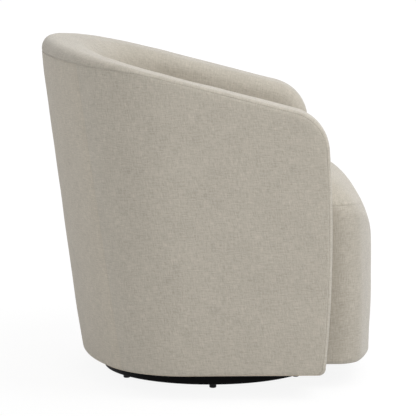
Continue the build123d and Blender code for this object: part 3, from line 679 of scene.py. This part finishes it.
# seat: one cushion form, cut at a level seam into its top and its border
seat = {
    "reach": 0.3495, "bow": 0.570,
    "topReach": 0.3428, "topBow": 2.60,      # the top's front slope starts flatter than the border
    "cornerRadius": 0.040, "waterfall": 0.161, "rise": 0.174, "fullness": 1.88, "squareness": 3.5,
    "shoulder": 0.100, "shoulderOut": 0.010, "tightShoulder": 0.062, "rearRoll": 0.030,
    "freeFrom": -0.120, "freeTo": -0.235,    # y values over which the shoulders come out of the arms
    "top": 0.4787, "topFrom": -0.1565,
    "rearFall": 0.0180, "rearRun": 0.5165,   # the top falls by that much over that run
    "sideFall": 0.0090, "sideRun": 0.15,
    "blend": 0.0015,         # softness of the edges between the form's faces
    "gap": 0.0009,           # to the padded arm
    "seam": 0.390, "seamDip": 0.009,         # the seam's height at the arms, and its dip in front
    "dipFrom": 0.12, "dipTo": 0.240,
    "border": -0.2140,       # the border ends at the arm fronts
    "foot": 0.3465,          # underside of the cushion
    "padThickness": 0.0138, "lining": 0.0018,
    "footRoll": 0.011, "hem": 0.030,
    "belly": 0.0045,         # the border swells towards the middle of its height
    "uneven": 0.0007, "borderUneven": 0.0004,
    "middleY": -0.03, "raysFrom": 0.10,      # the top's grid is found along rays from this point
    "topRun": 0.30,
    "sideSpread": 0.35, "frontSpread": 0.34,     # how much longer the falling sides are than in plan
    "step": 0.0062,
}


def roundMax(a, b, radius):
    # the greater of two distances, with a true round of that radius where both are near the surface
    first, second = np.maximum(a + radius, 0), np.maximum(b + radius, 0)
    return np.where((first > 0) & (second > 0), np.hypot(first, second) - radius, np.maximum(a, b))


def crownDistance(front, side, above, free):
    # One soft form for the cushion's top: a superellipse in plan joins its front slope and its
    # shoulders, and each of them rises to the top over its own height.
    shoulder = mixed(seat["tightShoulder"], seat["shoulder"], free)
    power, full = seat["squareness"], seat["fullness"]
    a = np.maximum(front / seat["waterfall"] + 1, 0) ** power
    b = np.maximum((side - seat["shoulderOut"] * free) / shoulder + 1, 0) ** power
    frontShare, sideShare = a + 1e-4, b + 1e-4
    rise = (seat["rise"] * frontShare + shoulder * sideShare) / (frontShare + sideShare)
    c = np.maximum(above / rise + 1, 0)
    return (((a + b) ** (full / power) + c ** full) ** (1 / full) - 1) * rise


def bowDistance(x, y, reach, bow):
    # signed distance to the seat's bowed front
    return np.hypot(x, y + reach - bow) - bow


def seatDistance(place):
    # signed distance of the seat's form, negative inside: the crown, the walls and the rounds between
    x, y, z = place[..., 0], place[..., 1], place[..., 2]
    side, wall = wallDistance(x, y, z, shell["thickness"] + seat["gap"])
    front = bowDistance(x, y, seat["reach"], seat["bow"])
    topFront = bowDistance(x, y, seat["topReach"], seat["topBow"])
    rearFall = seat["rearFall"] * (np.maximum(y - seat["topFrom"], 0) / seat["rearRun"]) ** 2
    above = z - seat["top"] + rearFall + seat["sideFall"] * (x / seat["sideRun"]) ** 2
    # between the arms the cushion is pressed upright, in front of them its shoulders are rounder
    free = 1 - smoothStep(y, seat["freeTo"], seat["freeFrom"])
    parts = np.stack([crownDistance(topFront, side, above, free), above,
                      roundMax(wall, above, np.where(y > 0.1, seat["rearRoll"], 0.001)),
                      roundMax(front, side, seat["cornerRadius"]), wall, front])
    most = parts.max(axis=0)
    return most + seat["blend"] * np.log(np.exp((parts - most) / seat["blend"]).sum(axis=0))


def rayHit(start, direction):
    # point of each ray at which it leaves the seat's form
    near, far = np.zeros(direction.shape[:-1]), np.full(direction.shape[:-1], 0.75)
    run = halving(near, far, lambda run: seatDistance(start + direction * run[..., None]) > 0, 34)
    return start + direction * run[..., None]


def levelDirections(angles):
    return np.stack([np.cos(angles), np.sin(angles), np.zeros_like(angles)], axis=-1)


def evenly(points, count):
    # the same line with evenly spaced points
    run = np.concatenate([[0], np.cumsum(np.linalg.norm(np.diff(points, axis=0), axis=1))])
    at = np.linspace(0, run[-1], count)
    return np.stack([np.interp(at, run, points[:, k]) for k in range(3)], axis=1)


def seatLoop(angles, centreY):
    # the seam's line round the seat, found three times because its height follows from its place
    height = np.full_like(angles, seat["seam"])
    for _ in range(3):
        start = np.stack([np.zeros_like(angles), np.full_like(angles, centreY), height], axis=1)
        line = rayHit(start, levelDirections(angles))
        dip = 1 - smoothStep(np.abs(line[:, 0]), seat["dipFrom"], seat["dipTo"])
        height = seat["seam"] - seat["seamDip"] * dip
    return line


def makeSeatTop():
    # Rays fan out from a point under the crown, upright at r = 0 and through the seam at r = 1; the
    # surface is where they leave the seat's form, moved along its normal.
    loop = evenly(seatLoop(np.linspace(0, 2 * pi, 3000), seat["middleY"]), 380)
    loop[-1] = loop[0]
    start, up = np.array([0.0, seat["middleY"], seat["raysFrom"]]), np.array([0.0, 0.0, 1.0])
    edge = loop - start
    edge /= np.linalg.norm(edge, axis=1, keepdims=True)
    flat = edge - (edge @ up)[:, None] * up
    flat /= np.linalg.norm(flat, axis=1, keepdims=True)
    r = spaced(seat["topRun"], seat["step"], fineStart=False)
    r[0] = 0.004             # a small ring round the middle, closed by the fan
    bend = (r[:, None] * np.arccos(np.clip(edge @ up, -1, 1)))[..., None]
    top = rayHit(start, np.cos(bend) * up + np.sin(bend) * flat)
    toSeam = np.broadcast_to((1 - r)[:, None] * seat["topRun"], top.shape[:2])
    normals = gridNormals(top)
    normals *= np.sign(normals[..., 2].sum())
    uneven = seat["uneven"] * ripple(top[..., 0], top[..., 1], 0.13, 12)
    outer = top + normals * (uneven * fadeIn(toSeam, 0.03) - seamGroove(toSeam))[..., None]
    # on the flat cloth the sides that fall away from the top reach further out than in plan
    fall = seat["top"] - outer[..., 2]
    x, y = outer[..., 0], outer[..., 1]
    sideSpread = seat["sideSpread"] * fall * smoothStep(np.abs(x), 0.14, 0.22)
    frontSpread = seat["frontSpread"] * fall * smoothStep(-y, 0.12, 0.22)
    cloth = np.stack([x + np.sign(x) * sideSpread, y - frontSpread], axis=-1)
    # below the seam the cushion's side runs in behind the border, down to its flat underside
    behindBorder = 1 - smoothStep(loop[:, 1], seat["border"] - 0.004, seat["border"] + 0.012)
    rows = []
    # how far in a row lies behind the border and elsewhere, and its drop below the seam
    for inset, besideArm, drop in ((0.004, 0.0006, 0.002), (0.0150, 0.0012, 0.006), (0.0150, 0.0012, 0.022),
                                   (0.0155, 0.0030, None), (0.10, 0.10, None), (0.19, 0.19, None)):
        row = loop - flat * mixed(besideArm, inset, behindBorder)[:, None]
        row[:, 2] = seat["foot"] if drop is None else loop[:, 2] - drop
        rows.append(row)
    outer = np.concatenate([outer, rows])
    cloth = np.concatenate([cloth, np.stack(rows)[..., :2]])
    seam = np.concatenate([seamMark(toSeam), np.ones((len(rows), len(loop)))])
    return loftedPiece("seatCushion", outer, cloth, seam)


def makeSeatBorder():
    # upright band round the front of the seat: columns go up from the hem, rows from arm to arm
    loop = evenly(seatLoop(np.linspace(-pi, 0, 4000), seat["border"]), 170)
    angles = np.arctan2(loop[:, 1] - seat["border"], loop[:, 0])
    angles[0], angles[-1] = -pi, 0.0
    roll, bottom = seat["footRoll"], shell["bottom"]
    v = spaced(seat["seam"] - bottom - roll, seat["step"], fineStart=False)
    heights = bottom + roll + v * (loop[:, 2:] - bottom - roll)
    start = np.stack([np.zeros_like(heights), np.full_like(heights, seat["border"]), heights], axis=-1)
    wall = rayHit(start, np.broadcast_to(levelDirections(angles)[:, None], start.shape))
    tangent = np.gradient(wall, axis=0)
    outward = np.stack([tangent[..., 1], -tangent[..., 0], np.zeros_like(heights)], axis=-1)
    outward /= np.maximum(np.linalg.norm(outward, axis=2, keepdims=True), 1e-9)
    outward *= np.sign((outward * (wall - start)).sum())
    toSeam = loop[:, 2:] - heights
    run = np.concatenate([[0], np.cumsum(np.linalg.norm(np.diff(loop, axis=0), axis=1))])[:, None]
    push = seat["belly"] * fadeIn(toSeam, 0.06) * smoothStep(heights, bottom, bottom + 0.16)
    push *= fadeIn(np.minimum(run, run[-1] - run), 0.03)
    push += seat["borderUneven"] * ripple(run, heights, 0.1, 21) * fadeIn(toSeam, 0.03) - seamGroove(toSeam)
    # the hem under the seat, then a quarter round up to the band
    turn = np.linspace(0, pi / 2, 9)[:-1]
    inset = np.concatenate([np.linspace(seat["hem"], roll, 5)[:-1], roll - roll * np.sin(turn)])
    rise = np.concatenate([np.zeros(4), roll - roll * np.cos(turn)])

    def footBehind(inset, lift):
        foot = wall[:, :1] - outward[:, :1] * inset[:, None]
        foot[..., 2] = bottom + rise + lift
        return foot

    outer = np.concatenate([footBehind(inset, 0.0), wall + outward * push[..., None]], axis=1)
    lined = footBehind(np.maximum(inset, seat["padThickness"]), seat["lining"])
    inner = np.concatenate([lined, wall - outward * seat["padThickness"]], axis=1)
    seam = seamMark(np.concatenate([np.ones((len(loop), len(inset))), toSeam], axis=1))
    return closedPiece("seatBorder", outer, inner, clothPlace(outer), seam)


# the short cloth simulation of the cushion's top
settle = {
    "levels": 8, "steps": 14, "pressure": 4.0,
    "cap": 0.003,            # no point moves further than this
    "frontFrom": 0.004, "frontTo": 0.030,    # distances from the seam over which the cloth comes free
    "wallFrom": 0.030, "wallTo": 0.080,      # the same between the arms, where it lies against them
}


def freeShare(piece):
    # 0 where the cloth is sewn or lies against the arms and the back, 1 where it can swell
    mesh = piece.data
    count = len(mesh.vertices)
    seam, place = np.empty(count, np.float32), np.empty(count * 3, np.float32)
    mesh.attributes["seam"].data.foreach_get("value", seam)
    mesh.vertices.foreach_get("co", place)
    distance = -seamWidth * np.log(np.maximum(seam, 1e-30))
    inArms = smoothStep(place.reshape(-1, 3)[:, 1], -0.26, -0.16)
    free = smoothStep(distance, mixed(settle["frontFrom"], settle["wallFrom"], inArms),
                      mixed(settle["frontTo"], settle["wallTo"], inArms))
    free[-2:] = 1, 0         # the middle points of the top and of the underside
    return free


def settleCloth(piece, free):
    # The cloth swells over its foam in a short simulation with air pressure and no gravity; it is
    # held where free is 0, and no point moves further than the cap.
    mesh = piece.data
    count = len(mesh.vertices)
    before, after = np.empty(count * 3, np.float32), np.empty(count * 3, np.float32)
    mesh.vertices.foreach_get("co", before)
    group = piece.vertex_groups.new(name="held")
    level = np.rint(free * settle["levels"]).astype(int)
    for n in range(settle["levels"] + 1):
        group.add(np.nonzero(level == n)[0].tolist(), 1 - n / settle["levels"], "REPLACE")
    modifier = piece.modifiers.new("settle", "CLOTH")
    cloth = modifier.settings
    cloth.quality, cloth.mass = 5, 0.3
    cloth.tension_stiffness = cloth.compression_stiffness = 40
    cloth.shear_stiffness, cloth.bending_stiffness = 20, 4
    cloth.use_pressure, cloth.uniform_pressure_force = True, settle["pressure"]
    cloth.effector_weights.gravity = 0
    cloth.vertex_group_mass = "held"
    for step in range(1, settle["steps"] + 1):
        bpy.context.scene.frame_set(step)
    shaped = piece.evaluated_get(bpy.context.evaluated_depsgraph_get())
    shaped.to_mesh().vertices.foreach_get("co", after)
    shaped.to_mesh_clear()
    piece.modifiers.remove(modifier)
    piece.vertex_groups.remove(group)
    bpy.context.scene.frame_set(1)
    move = (after - before).reshape(-1, 3)
    length = np.maximum(np.linalg.norm(move, axis=1, keepdims=True), 1e-9)
    move *= settle["cap"] * np.tanh(length / settle["cap"]) / length * free[:, None]
    mesh.vertices.foreach_set("co", (before.reshape(-1, 3) + move).ravel())
    mesh.update()


seatTop = makeSeatTop()
seatBorder = makeSeatBorder()
settleCloth(seatTop, freeShare(seatTop))
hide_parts("seat_top_cover", "seat_foam")
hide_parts("seat_border_cover", "seat_front_pad")
print("seat made", len(seatTop.data.polygons), len(seatBorder.data.polygons))

for piece in (leftPanel, rightPanel, rearPanel, insideCover, seatTop, seatBorder):
    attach(piece, "chair")

# dust cover under the body: thin black cloth that sags a little between its staples
dust = {
    "inset": 0.0283, "height": 0.0515, "thickness": 0.0006, "sag": 0.00048,
    "board": 0.0519,         # underside of the bottom board, less a hair
    "hole": 0.1535,          # radius of the round hole for the swivel plate
    "front": -0.2425,        # the barrel's plan ends here, before the seat's begins
}


def bodyDistance(x, y):
    # signed distance of the body's plan at its underside: the barrel, and the seat in front of it
    height = np.full_like(x, shell["bottom"])
    barrel = np.maximum(wallDistance(x, y, height, 0.0)[1], dust["front"] - y)
    side = wallDistance(x, y, height, shell["thickness"])[0]
    front = bowDistance(x, y, seat["reach"], seat["bow"])
    return np.minimum(barrel, np.maximum(roundMax(front, side, seat["cornerRadius"]), y))


def makeDustCover():
    # rings from the round hole of the swivel plate out to the hem; share is 0 at the hole, 1 at the hem
    angles = np.linspace(0, 2 * pi, 361)
    across, along = np.cos(angles), np.sin(angles)
    near, past = np.zeros_like(angles), np.full_like(angles, 0.6)
    far = halving(near, past, lambda run: bodyDistance(across * run, along * run) > -dust["inset"], 34)
    share = np.linspace(0, 1, 36)[:, None]
    radius = mixed(dust["hole"], far, share)
    x, y = radius * across, radius * along
    sag = dust["sag"] * np.sin(pi * share) * (0.6 + 0.4 * ripple(x, y, 0.12, 31))
    outer = np.stack([x, y, dust["height"] - sag], axis=-1)
    inner = outer + np.array([0, 0, dust["thickness"]])
    inner[..., 2] = np.minimum(inner[..., 2], dust["board"])
    return closedPiece("dustCover", outer, inner, outer[..., :2], np.zeros(outer.shape[:2]), loop=True)


dustCover = makeDustCover()
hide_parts("dust_cover")
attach(dustCover, "chair")
print("dust cover made")


# finishes
def addNode(tree, kind, inputs=(), **settings):
    # a node with its settings; each input is linked to a socket or given a plain value
    node = tree.nodes.new("ShaderNode" + kind)
    for name, value in settings.items():
        setattr(node, name, value)
    for key, value in dict(inputs).items():
        if isinstance(value, bpy.types.NodeSocket):
            tree.links.new(value, node.inputs[key])
        else:
            node.inputs[key].default_value = value
    return node


def mathNode(tree, operation, *values, clamp=False):
    return addNode(tree, "Math", enumerate(values), operation=operation, use_clamp=clamp).outputs[0]


def noiseNode(tree, vector, scale, detail, rough):
    inputs = {"Vector": vector, "Scale": scale, "Detail": detail, "Roughness": rough}
    return addNode(tree, "TexNoise", inputs).outputs["Fac"]


def mixColours(tree, factor, a, b):
    return addNode(tree, "Mix", {0: factor, 6: a, 7: b}, data_type="RGBA").outputs[2]


def rangeNode(tree, value, low, high, toLow=0.0, toHigh=1.0):
    return addNode(tree, "MapRange", enumerate((value, low, high, toLow, toHigh))).outputs[0]


def newGroup(name, inputs):
    # a shader group that gives a colour, a height and a roughness
    group = bpy.data.node_groups.new(name, "ShaderNodeTree")
    for label, kind, value in inputs:
        socket = group.interface.new_socket(name=label, in_out="INPUT", socket_type="NodeSocket" + kind)
        if value is not None:
            socket.default_value = value
    for label, kind in (("Colour", "Color"), ("Height", "Float"), ("Roughness", "Float")):
        group.interface.new_socket(name=label, in_out="OUTPUT", socket_type="NodeSocket" + kind)
    given = group.nodes.new("NodeGroupInput").outputs
    return group, given, group.nodes.new("NodeGroupOutput").inputs


linen = {
    # seam is the dark colour painted along the seams, as painted shade of the crease
    "light": (0.600, 0.551, 0.469), "dark": (0.275, 0.251, 0.209), "seam": (0.16, 0.14, 0.115, 1),
    # the back panel's cloth is painted a little lighter than the sides', as painted light, and the border's a
    # little darker, as painted shade
    "backPanel": (1.065, 1.05, 1.03), "borderPaintedShade": (0.95, 0.95, 0.95),
    "threads": 900.0,        # threads to a metre, over and under by turns
    "wander": 3.0, "wanderScale": 45.0,      # how far the threads wander from their lines
    "weight": 0.6, "under": 0.4,             # a thread's height in the middle, and its loss where it dives
    # scales of the yarn's unevenness across and along it, fine and heavy
    "fineSlub": (900, 80), "heavySlub": (420, 45), "heavyShare": 0.65,
    "grainScale": 330.0, "grainShare": 0.7, "mottleScale": 16.0,
    "mean": 2.0,             # of the sum of the slubs and the grain
    # the last of these paints the colour darker where the weave lies low, as painted shade
    "slub": 1.0, "slubTone": 0.66, "mottleTone": 0.20, "reliefPaintedShade": 0.25,
    "stitch": 0.0042,        # along a seam every stitch pulls the cloth down a little
    # seamShade and stitchShade paint the colour darker along a seam and at each stitch, as painted shade
    "seamShade": 0.06, "stitchShade": 0.14, "stitchDepth": 2.0, "slubHeight": 0.8,
    "sheen": 0.28, "bump": 0.35, "relief": 0.0004,
}


def makeWeaveGroup():
    # Plain weave of melange yarn. Relief is the higher one of the two threads at each place, and each
    # is the round of a sine, raised where it goes over and lowered where it dives. Tone adds slubs
    # along both directions, grain, a mottle and some of the relief, which is painted shade where the
    # threads dive and between them.
    group, given, out = newGroup("plainWeave", [
        ("Cloth", "Vector", None), ("Threads", "Float", linen["threads"]),
        ("Light yarn", "Color", (0.6, 0.56, 0.48, 1)), ("Dark yarn", "Color", (0.4, 0.37, 0.3, 1)),
        ("Slub", "Float", 1.0), ("Seam", "Float", 0.0)])
    cloth = given["Cloth"]

    def calc(operation, *values, clamp=False):
        return mathNode(group, operation, *values, clamp=clamp)

    def slubs(scales, detail, rough):
        # the same unevenness in the threads that run along u and in those that run along v
        both = []
        for x, y in (scales, scales[::-1]):
            place = addNode(group, "VectorMath", {0: cloth, 1: (x, y, 1.0)}, operation="MULTIPLY").outputs[0]
            both.append(noiseNode(group, place, 1.0, detail, rough))
        return calc("ADD", *both)

    scaled = addNode(group, "VectorMath", {0: cloth, "Scale": given["Threads"]}, operation="SCALE").outputs[0]
    wander = addNode(group, "TexNoise", {"Vector": cloth, "Scale": linen["wanderScale"]}).outputs["Color"]
    reach = (linen["wander"], linen["wander"], 0.0)
    wandering = {0: wander, 1: reach, 2: scaled}
    place = addNode(group, "VectorMath", wandering, operation="MULTIPLY_ADD").outputs[0]
    u, v = (calc("MULTIPLY", socket, pi) for socket in addNode(group, "SeparateXYZ", {0: place}).outputs[:2])
    over = calc("MULTIPLY", calc("COSINE", u), calc("COSINE", v))
    threads = []
    for run, under in ((u, linen["under"]), (v, -linen["under"])):
        weight = calc("MULTIPLY_ADD", over, under, linen["weight"])
        threads.append(calc("MULTIPLY", calc("ABSOLUTE", calc("SINE", run)), weight))
    relief = calc("MAXIMUM", *threads)

    grain = noiseNode(group, cloth, linen["grainScale"], 3.0, 0.65)
    mottle = noiseNode(group, cloth, linen["mottleScale"], 2.0, 0.5)
    total = calc("MULTIPLY_ADD", grain, linen["grainShare"], slubs(linen["fineSlub"], 2.0, 0.6))
    total = calc("MULTIPLY_ADD", slubs(linen["heavySlub"], 1.0, 0.5), linen["heavyShare"], total)
    slub = calc("MULTIPLY", calc("SUBTRACT", total, linen["mean"]), given["Slub"])
    tone = calc("MULTIPLY_ADD", slub, linen["slubTone"], 0.5)
    tone = calc("MULTIPLY_ADD", calc("SUBTRACT", mottle, 0.5), linen["mottleTone"], tone)
    # where the threads dive and between them the tone is painted darker, as painted shade
    raised = calc("SUBTRACT", relief, linen["weight"])
    tone = calc("MULTIPLY_ADD", raised, linen["reliefPaintedShade"], tone, clamp=True)
    colour = mixColours(group, tone, given["Dark yarn"], given["Light yarn"])

    # along the seams the colour is painted darker, and darker again at each stitch's dimple, as painted shade
    run = calc("ADD", *addNode(group, "SeparateXYZ", {0: cloth}).outputs[:2])
    beat = rangeNode(group, calc("SINE", calc("MULTIPLY", run, 2 * pi / linen["stitch"])), -1.0, 1.0)
    stitch = calc("MULTIPLY", calc("POWER", given["Seam"], 3.0), beat)
    shade = calc("MULTIPLY", given["Seam"], linen["seamShade"])
    shade = calc("MULTIPLY_ADD", stitch, linen["stitchShade"], shade)
    height = calc("MULTIPLY_ADD", slub, linen["slubHeight"], relief)
    height = calc("MULTIPLY_ADD", stitch, -linen["stitchDepth"], height)
    group.links.new(mixColours(group, shade, colour, linen["seam"]), out["Colour"])
    group.links.new(height, out["Height"])
    group.links.new(rangeNode(group, tone, 0.0, 1.0, 0.95, 0.82), out["Roughness"])
    return group


def makeWornGroup():
    # speckle, grain and dust for the hard pieces, read from their own place in the chair
    group, given, out = newGroup("worn", [
        ("Place", "Vector", None), ("Base", "Color", (0.5, 0.5, 0.5, 1)),
        ("Worn", "Color", (0.7, 0.7, 0.7, 1)), ("Size", "Float", 60.0), ("Amount", "Float", 0.3),
        ("Rough low", "Float", 0.4), ("Rough high", "Float", 0.7)])
    noise = noiseNode(group, given["Place"], given["Size"], 4.0, 0.6)
    mask = mathNode(group, "MULTIPLY", rangeNode(group, noise, 0.38, 0.72), given["Amount"])
    span = mathNode(group, "SUBTRACT", given["Rough high"], given["Rough low"])
    group.links.new(mixColours(group, mask, given["Base"], given["Worn"]), out["Colour"])
    group.links.new(noise, out["Height"])
    group.links.new(mathNode(group, "MULTIPLY_ADD", span, noise, given["Rough low"]), out["Roughness"])
    return group


def newMaterial(name):
    material = bpy.data.materials.new(name)
    material.use_nodes = True
    tree = material.node_tree
    return material, tree, tree.nodes["Principled BSDF"]


def finishFrom(name, group, inputs, bump, relief, shine):
    # a material whose colour, roughness and bump come from a group; inputs are made in its own tree
    material, tree, shader = newMaterial(name)
    finish = addNode(tree, "Group", inputs(tree), node_tree=group)
    height = {"Height": finish.outputs["Height"], "Strength": bump, "Distance": relief}
    tree.links.new(finish.outputs["Colour"], shader.inputs["Base Color"])
    tree.links.new(finish.outputs["Roughness"], shader.inputs["Roughness"])
    tree.links.new(addNode(tree, "Bump", height).outputs["Normal"], shader.inputs["Normal"])
    shader.inputs["Specular IOR Level"].default_value = shine
    return material, shader


weaveGroup = makeWeaveGroup()
wornGroup = makeWornGroup()


def makeLinen(name, share=(1.0, 1.0, 1.0)):
    # share scales both yarn colours; the back panel's copy is painted lighter as painted light, the border's
    # darker as painted shade
    light, dark = (tuple(c * s for c, s in zip(linen[k], share)) + (1.0,) for k in ("light", "dark"))

    def inputs(tree):
        return {"Cloth": addNode(tree, "UVMap", uv_map="cloth").outputs["UV"],
                "Seam": addNode(tree, "Attribute", attribute_name="seam").outputs["Fac"],
                "Threads": linen["threads"], "Slub": linen["slub"], "Light yarn": light, "Dark yarn": dark}

    material, shader = finishFrom(name, weaveGroup, inputs, linen["bump"], linen["relief"], 0.5)
    shader.inputs["Sheen Weight"].default_value = linen["sheen"]
    shader.inputs["Sheen Roughness"].default_value = 0.5
    return material


def makeWorn(name, base, worn, size, amount, rough, metallic=0.0, bump=0.1, relief=0.0003, shine=0.4):
    def inputs(tree):
        return {"Place": tree.nodes.new("ShaderNodeTexCoord").outputs["Object"],
                "Base": base + (1,), "Worn": worn + (1,), "Size": size, "Amount": amount,
                "Rough low": rough[0], "Rough high": rough[1]}

    material, shader = finishFrom(name, wornGroup, inputs, bump, relief, shine)
    shader.inputs["Metallic"].default_value = metallic
    return material


# finishes of the hard pieces by slot: size is the pattern's scale, amount how much of it shows
hardFinishes = {
    "foam": dict(name="foamCream", base=(0.72, 0.66, 0.48), worn=(0.80, 0.76, 0.62),
                 size=900, amount=0.6, rough=(0.9, 1.0), bump=0.5, relief=0.0006),
    "fibreboard": dict(name="fibreboard", base=(0.33, 0.22, 0.12), worn=(0.45, 0.33, 0.20),
                       size=300, amount=0.6, rough=(0.75, 0.9)),
    "plywood": dict(name="plywood", base=(0.55, 0.40, 0.24), worn=(0.68, 0.53, 0.35),
                    size=40, amount=0.7, rough=(0.6, 0.8)),
    "hardwood": dict(name="hardwood", base=(0.47, 0.33, 0.19), worn=(0.60, 0.45, 0.29),
                     size=55, amount=0.7, rough=(0.55, 0.75)),
    "grey_felt": dict(name="greyFelt", base=(0.24, 0.24, 0.24), worn=(0.42, 0.42, 0.40),
                      size=700, amount=0.7, rough=(0.9, 1.0), bump=0.5, relief=0.0006),
    "webbing": dict(name="webbing", base=(0.30, 0.25, 0.17), worn=(0.50, 0.44, 0.33),
                    size=500, amount=0.7, rough=(0.85, 0.95), bump=0.4, relief=0.0005),
    "black_cambric": dict(name="blackCambric", base=(0.014, 0.014, 0.015), worn=(0.035, 0.035, 0.037),
                          size=800, amount=0.7, rough=(0.85, 0.98), bump=0.4, relief=0.0003),
    "spring_steel": dict(name="springSteel", base=(0.32, 0.31, 0.29), worn=(0.50, 0.47, 0.42),
                         size=120, amount=0.5, rough=(0.30, 0.5), metallic=1.0),
    "zinc_steel": dict(name="zincSteel", base=(0.58, 0.58, 0.56), worn=(0.72, 0.71, 0.66),
                       size=150, amount=0.5, rough=(0.28, 0.45), metallic=1.0),
    "bearing_steel": dict(name="bearingSteel", base=(0.65, 0.65, 0.64), worn=(0.75, 0.75, 0.74),
                          size=200, amount=0.3, rough=(0.12, 0.25), metallic=1.0),
    "black_steel": dict(name="blackSteel", base=(0.020, 0.020, 0.021), worn=(0.060, 0.060, 0.060),
                        size=150, amount=0.4, rough=(0.35, 0.55), metallic=0.6),
    "black_board": dict(name="blackBoard", base=(0.0045, 0.0045, 0.0050), worn=(0.010, 0.010, 0.010),
                        size=90, amount=0.5, rough=(0.45, 0.65), shine=0.06),
    "black_plastic": dict(name="blackPlastic", base=(0.006, 0.006, 0.007), worn=(0.016, 0.016, 0.016),
                          size=260, amount=0.5, rough=(0.35, 0.5), shine=0.15),
    "white_plastic": dict(name="whitePlastic", base=(0.72, 0.72, 0.70), worn=(0.80, 0.80, 0.78),
                          size=260, amount=0.4, rough=(0.35, 0.5)),
}
finishes = {slot: makeWorn(**values) for slot, values in hardFinishes.items()}
finishes["cover_cloth"] = makeLinen("coverLinen")
for piece in (leftPanel, rightPanel, insideCover, seatTop):
    piece.data.materials.append(finishes["cover_cloth"])
# the back panel's linen is painted lighter, as painted light, and the border's darker, as painted shade
rearPanel.data.materials.append(makeLinen("backLinenPaintedLight", linen["backPanel"]))
seatBorder.data.materials.append(makeLinen("borderLinenPaintedShade", linen["borderPaintedShade"]))
dustCover.data.materials.append(finishes["black_cambric"])

for part in frame["record"]["subparts"]:
    solid = frame["nodes"][part["node"]].data
    solid.materials.clear()
    solid.materials.append(finishes[part["material_slot"]])
print("finishes made")

# floor, world and lamps; strengths are settled so that each side of the cloth has its tone
light = {
    "world": 0.26,
    "floor": 14.0,           # half of its width
    "floorGlow": 1.035, "glowNear": 0.87,    # what the camera sees of the floor's own white
    "shadowFrom": 0.6, "shadowTo": 1.6,      # metres from the axis over which the shadow gives way to it
}
# place, aim, edge length and watts of each soft lamp
lamps = {
    "softTop": ((0.3, -0.7, 2.4), (0, 0, 0.4), 2.2, 22.0),
    "softFrontTop": ((-0.9, -1.7, 2.3), (0, 0, 0.5), 1.8, 34.5),
    "softSide": ((-2.8, -0.6, 1.4), (0, 0, 0.4), 1.6, 24.5),
    "softFarSide": ((2.6, -0.8, 1.6), (0, 0, 0.4), 1.6, 12.0),
    "softCorner": ((-1.4, 2.4, 1.4), (0, 0, 0.4), 1.6, 7.0),
    "softRear": ((0.3, 2.7, 1.8), (0, 0, 0.5), 1.6, 17.5),
}


def backgroundRays(tree):
    # 1 for the rays that should see the plain white background
    rays = tree.nodes.new("ShaderNodeLightPath").outputs
    seen = mathNode(tree, "MAXIMUM", rays["Is Camera Ray"], rays["Is Glossy Ray"])
    return mathNode(tree, "MAXIMUM", seen, rays["Is Transmission Ray"])


def makeFloor():
    mesh = bpy.data.meshes.new("floor")
    size = light["floor"]
    corners = [(-size, -size, 0), (size, -size, 0), (size, size, 0), (-size, size, 0)]
    mesh.from_pydata(corners, [], [(0, 1, 2, 3)])
    floor = bpy.data.objects.new("floor", mesh)
    bpy.context.scene.collection.objects.link(floor)
    material, tree, shader = newMaterial("paleFloor")
    shader.inputs["Base Color"].default_value = (0.86, 0.86, 0.86, 1)
    shader.inputs["Roughness"].default_value = 0.9
    # near the chair the floor shows its shadow, further out it is plain white
    place = tree.nodes.new("ShaderNodeTexCoord").outputs["Object"]
    reach = addNode(tree, "VectorMath", {0: place}, operation="LENGTH").outputs["Value"]
    share = rangeNode(tree, reach, light["shadowFrom"], light["shadowTo"], light["glowNear"], 1.0)
    glow = addNode(tree, "Emission", {"Strength": light["floorGlow"]})
    factor = mathNode(tree, "MULTIPLY", backgroundRays(tree), share)
    mix = addNode(tree, "MixShader", {0: factor, 1: shader.outputs[0], 2: glow.outputs[0]})
    tree.links.new(mix.outputs[0], tree.nodes["Material Output"].inputs["Surface"])
    mesh.materials.append(material)


def makeWorld():
    world = bpy.data.worlds.new("studio")
    world.use_nodes = True
    tree = world.node_tree
    dim = tree.nodes["Background"]
    dim.inputs["Strength"].default_value = light["world"]
    dim.inputs["Color"].default_value = (1, 1, 1, 1)
    white = addNode(tree, "Background", {"Color": (1, 1, 1, 1)})
    mix = addNode(tree, "MixShader", {0: backgroundRays(tree), 1: dim.outputs[0], 2: white.outputs[0]})
    tree.links.new(mix.outputs[0], tree.nodes["World Output"].inputs["Surface"])
    bpy.context.scene.world = world


def makeLamp(name, place, aim, size, power):
    data = bpy.data.lights.new(name, "AREA")
    data.shape, data.size, data.energy = "SQUARE", size, power
    lamp = bpy.data.objects.new(name, data)
    lamp.location = place
    lamp.rotation_euler = (Vector(aim) - Vector(place)).to_track_quat("-Z", "Y").to_euler()
    bpy.context.scene.collection.objects.link(lamp)


makeFloor()
makeWorld()
for name, values in lamps.items():
    makeLamp(name, *values)
print("floor, world and lamps made")

bpy.context.scene.view_settings.view_transform = "Standard"
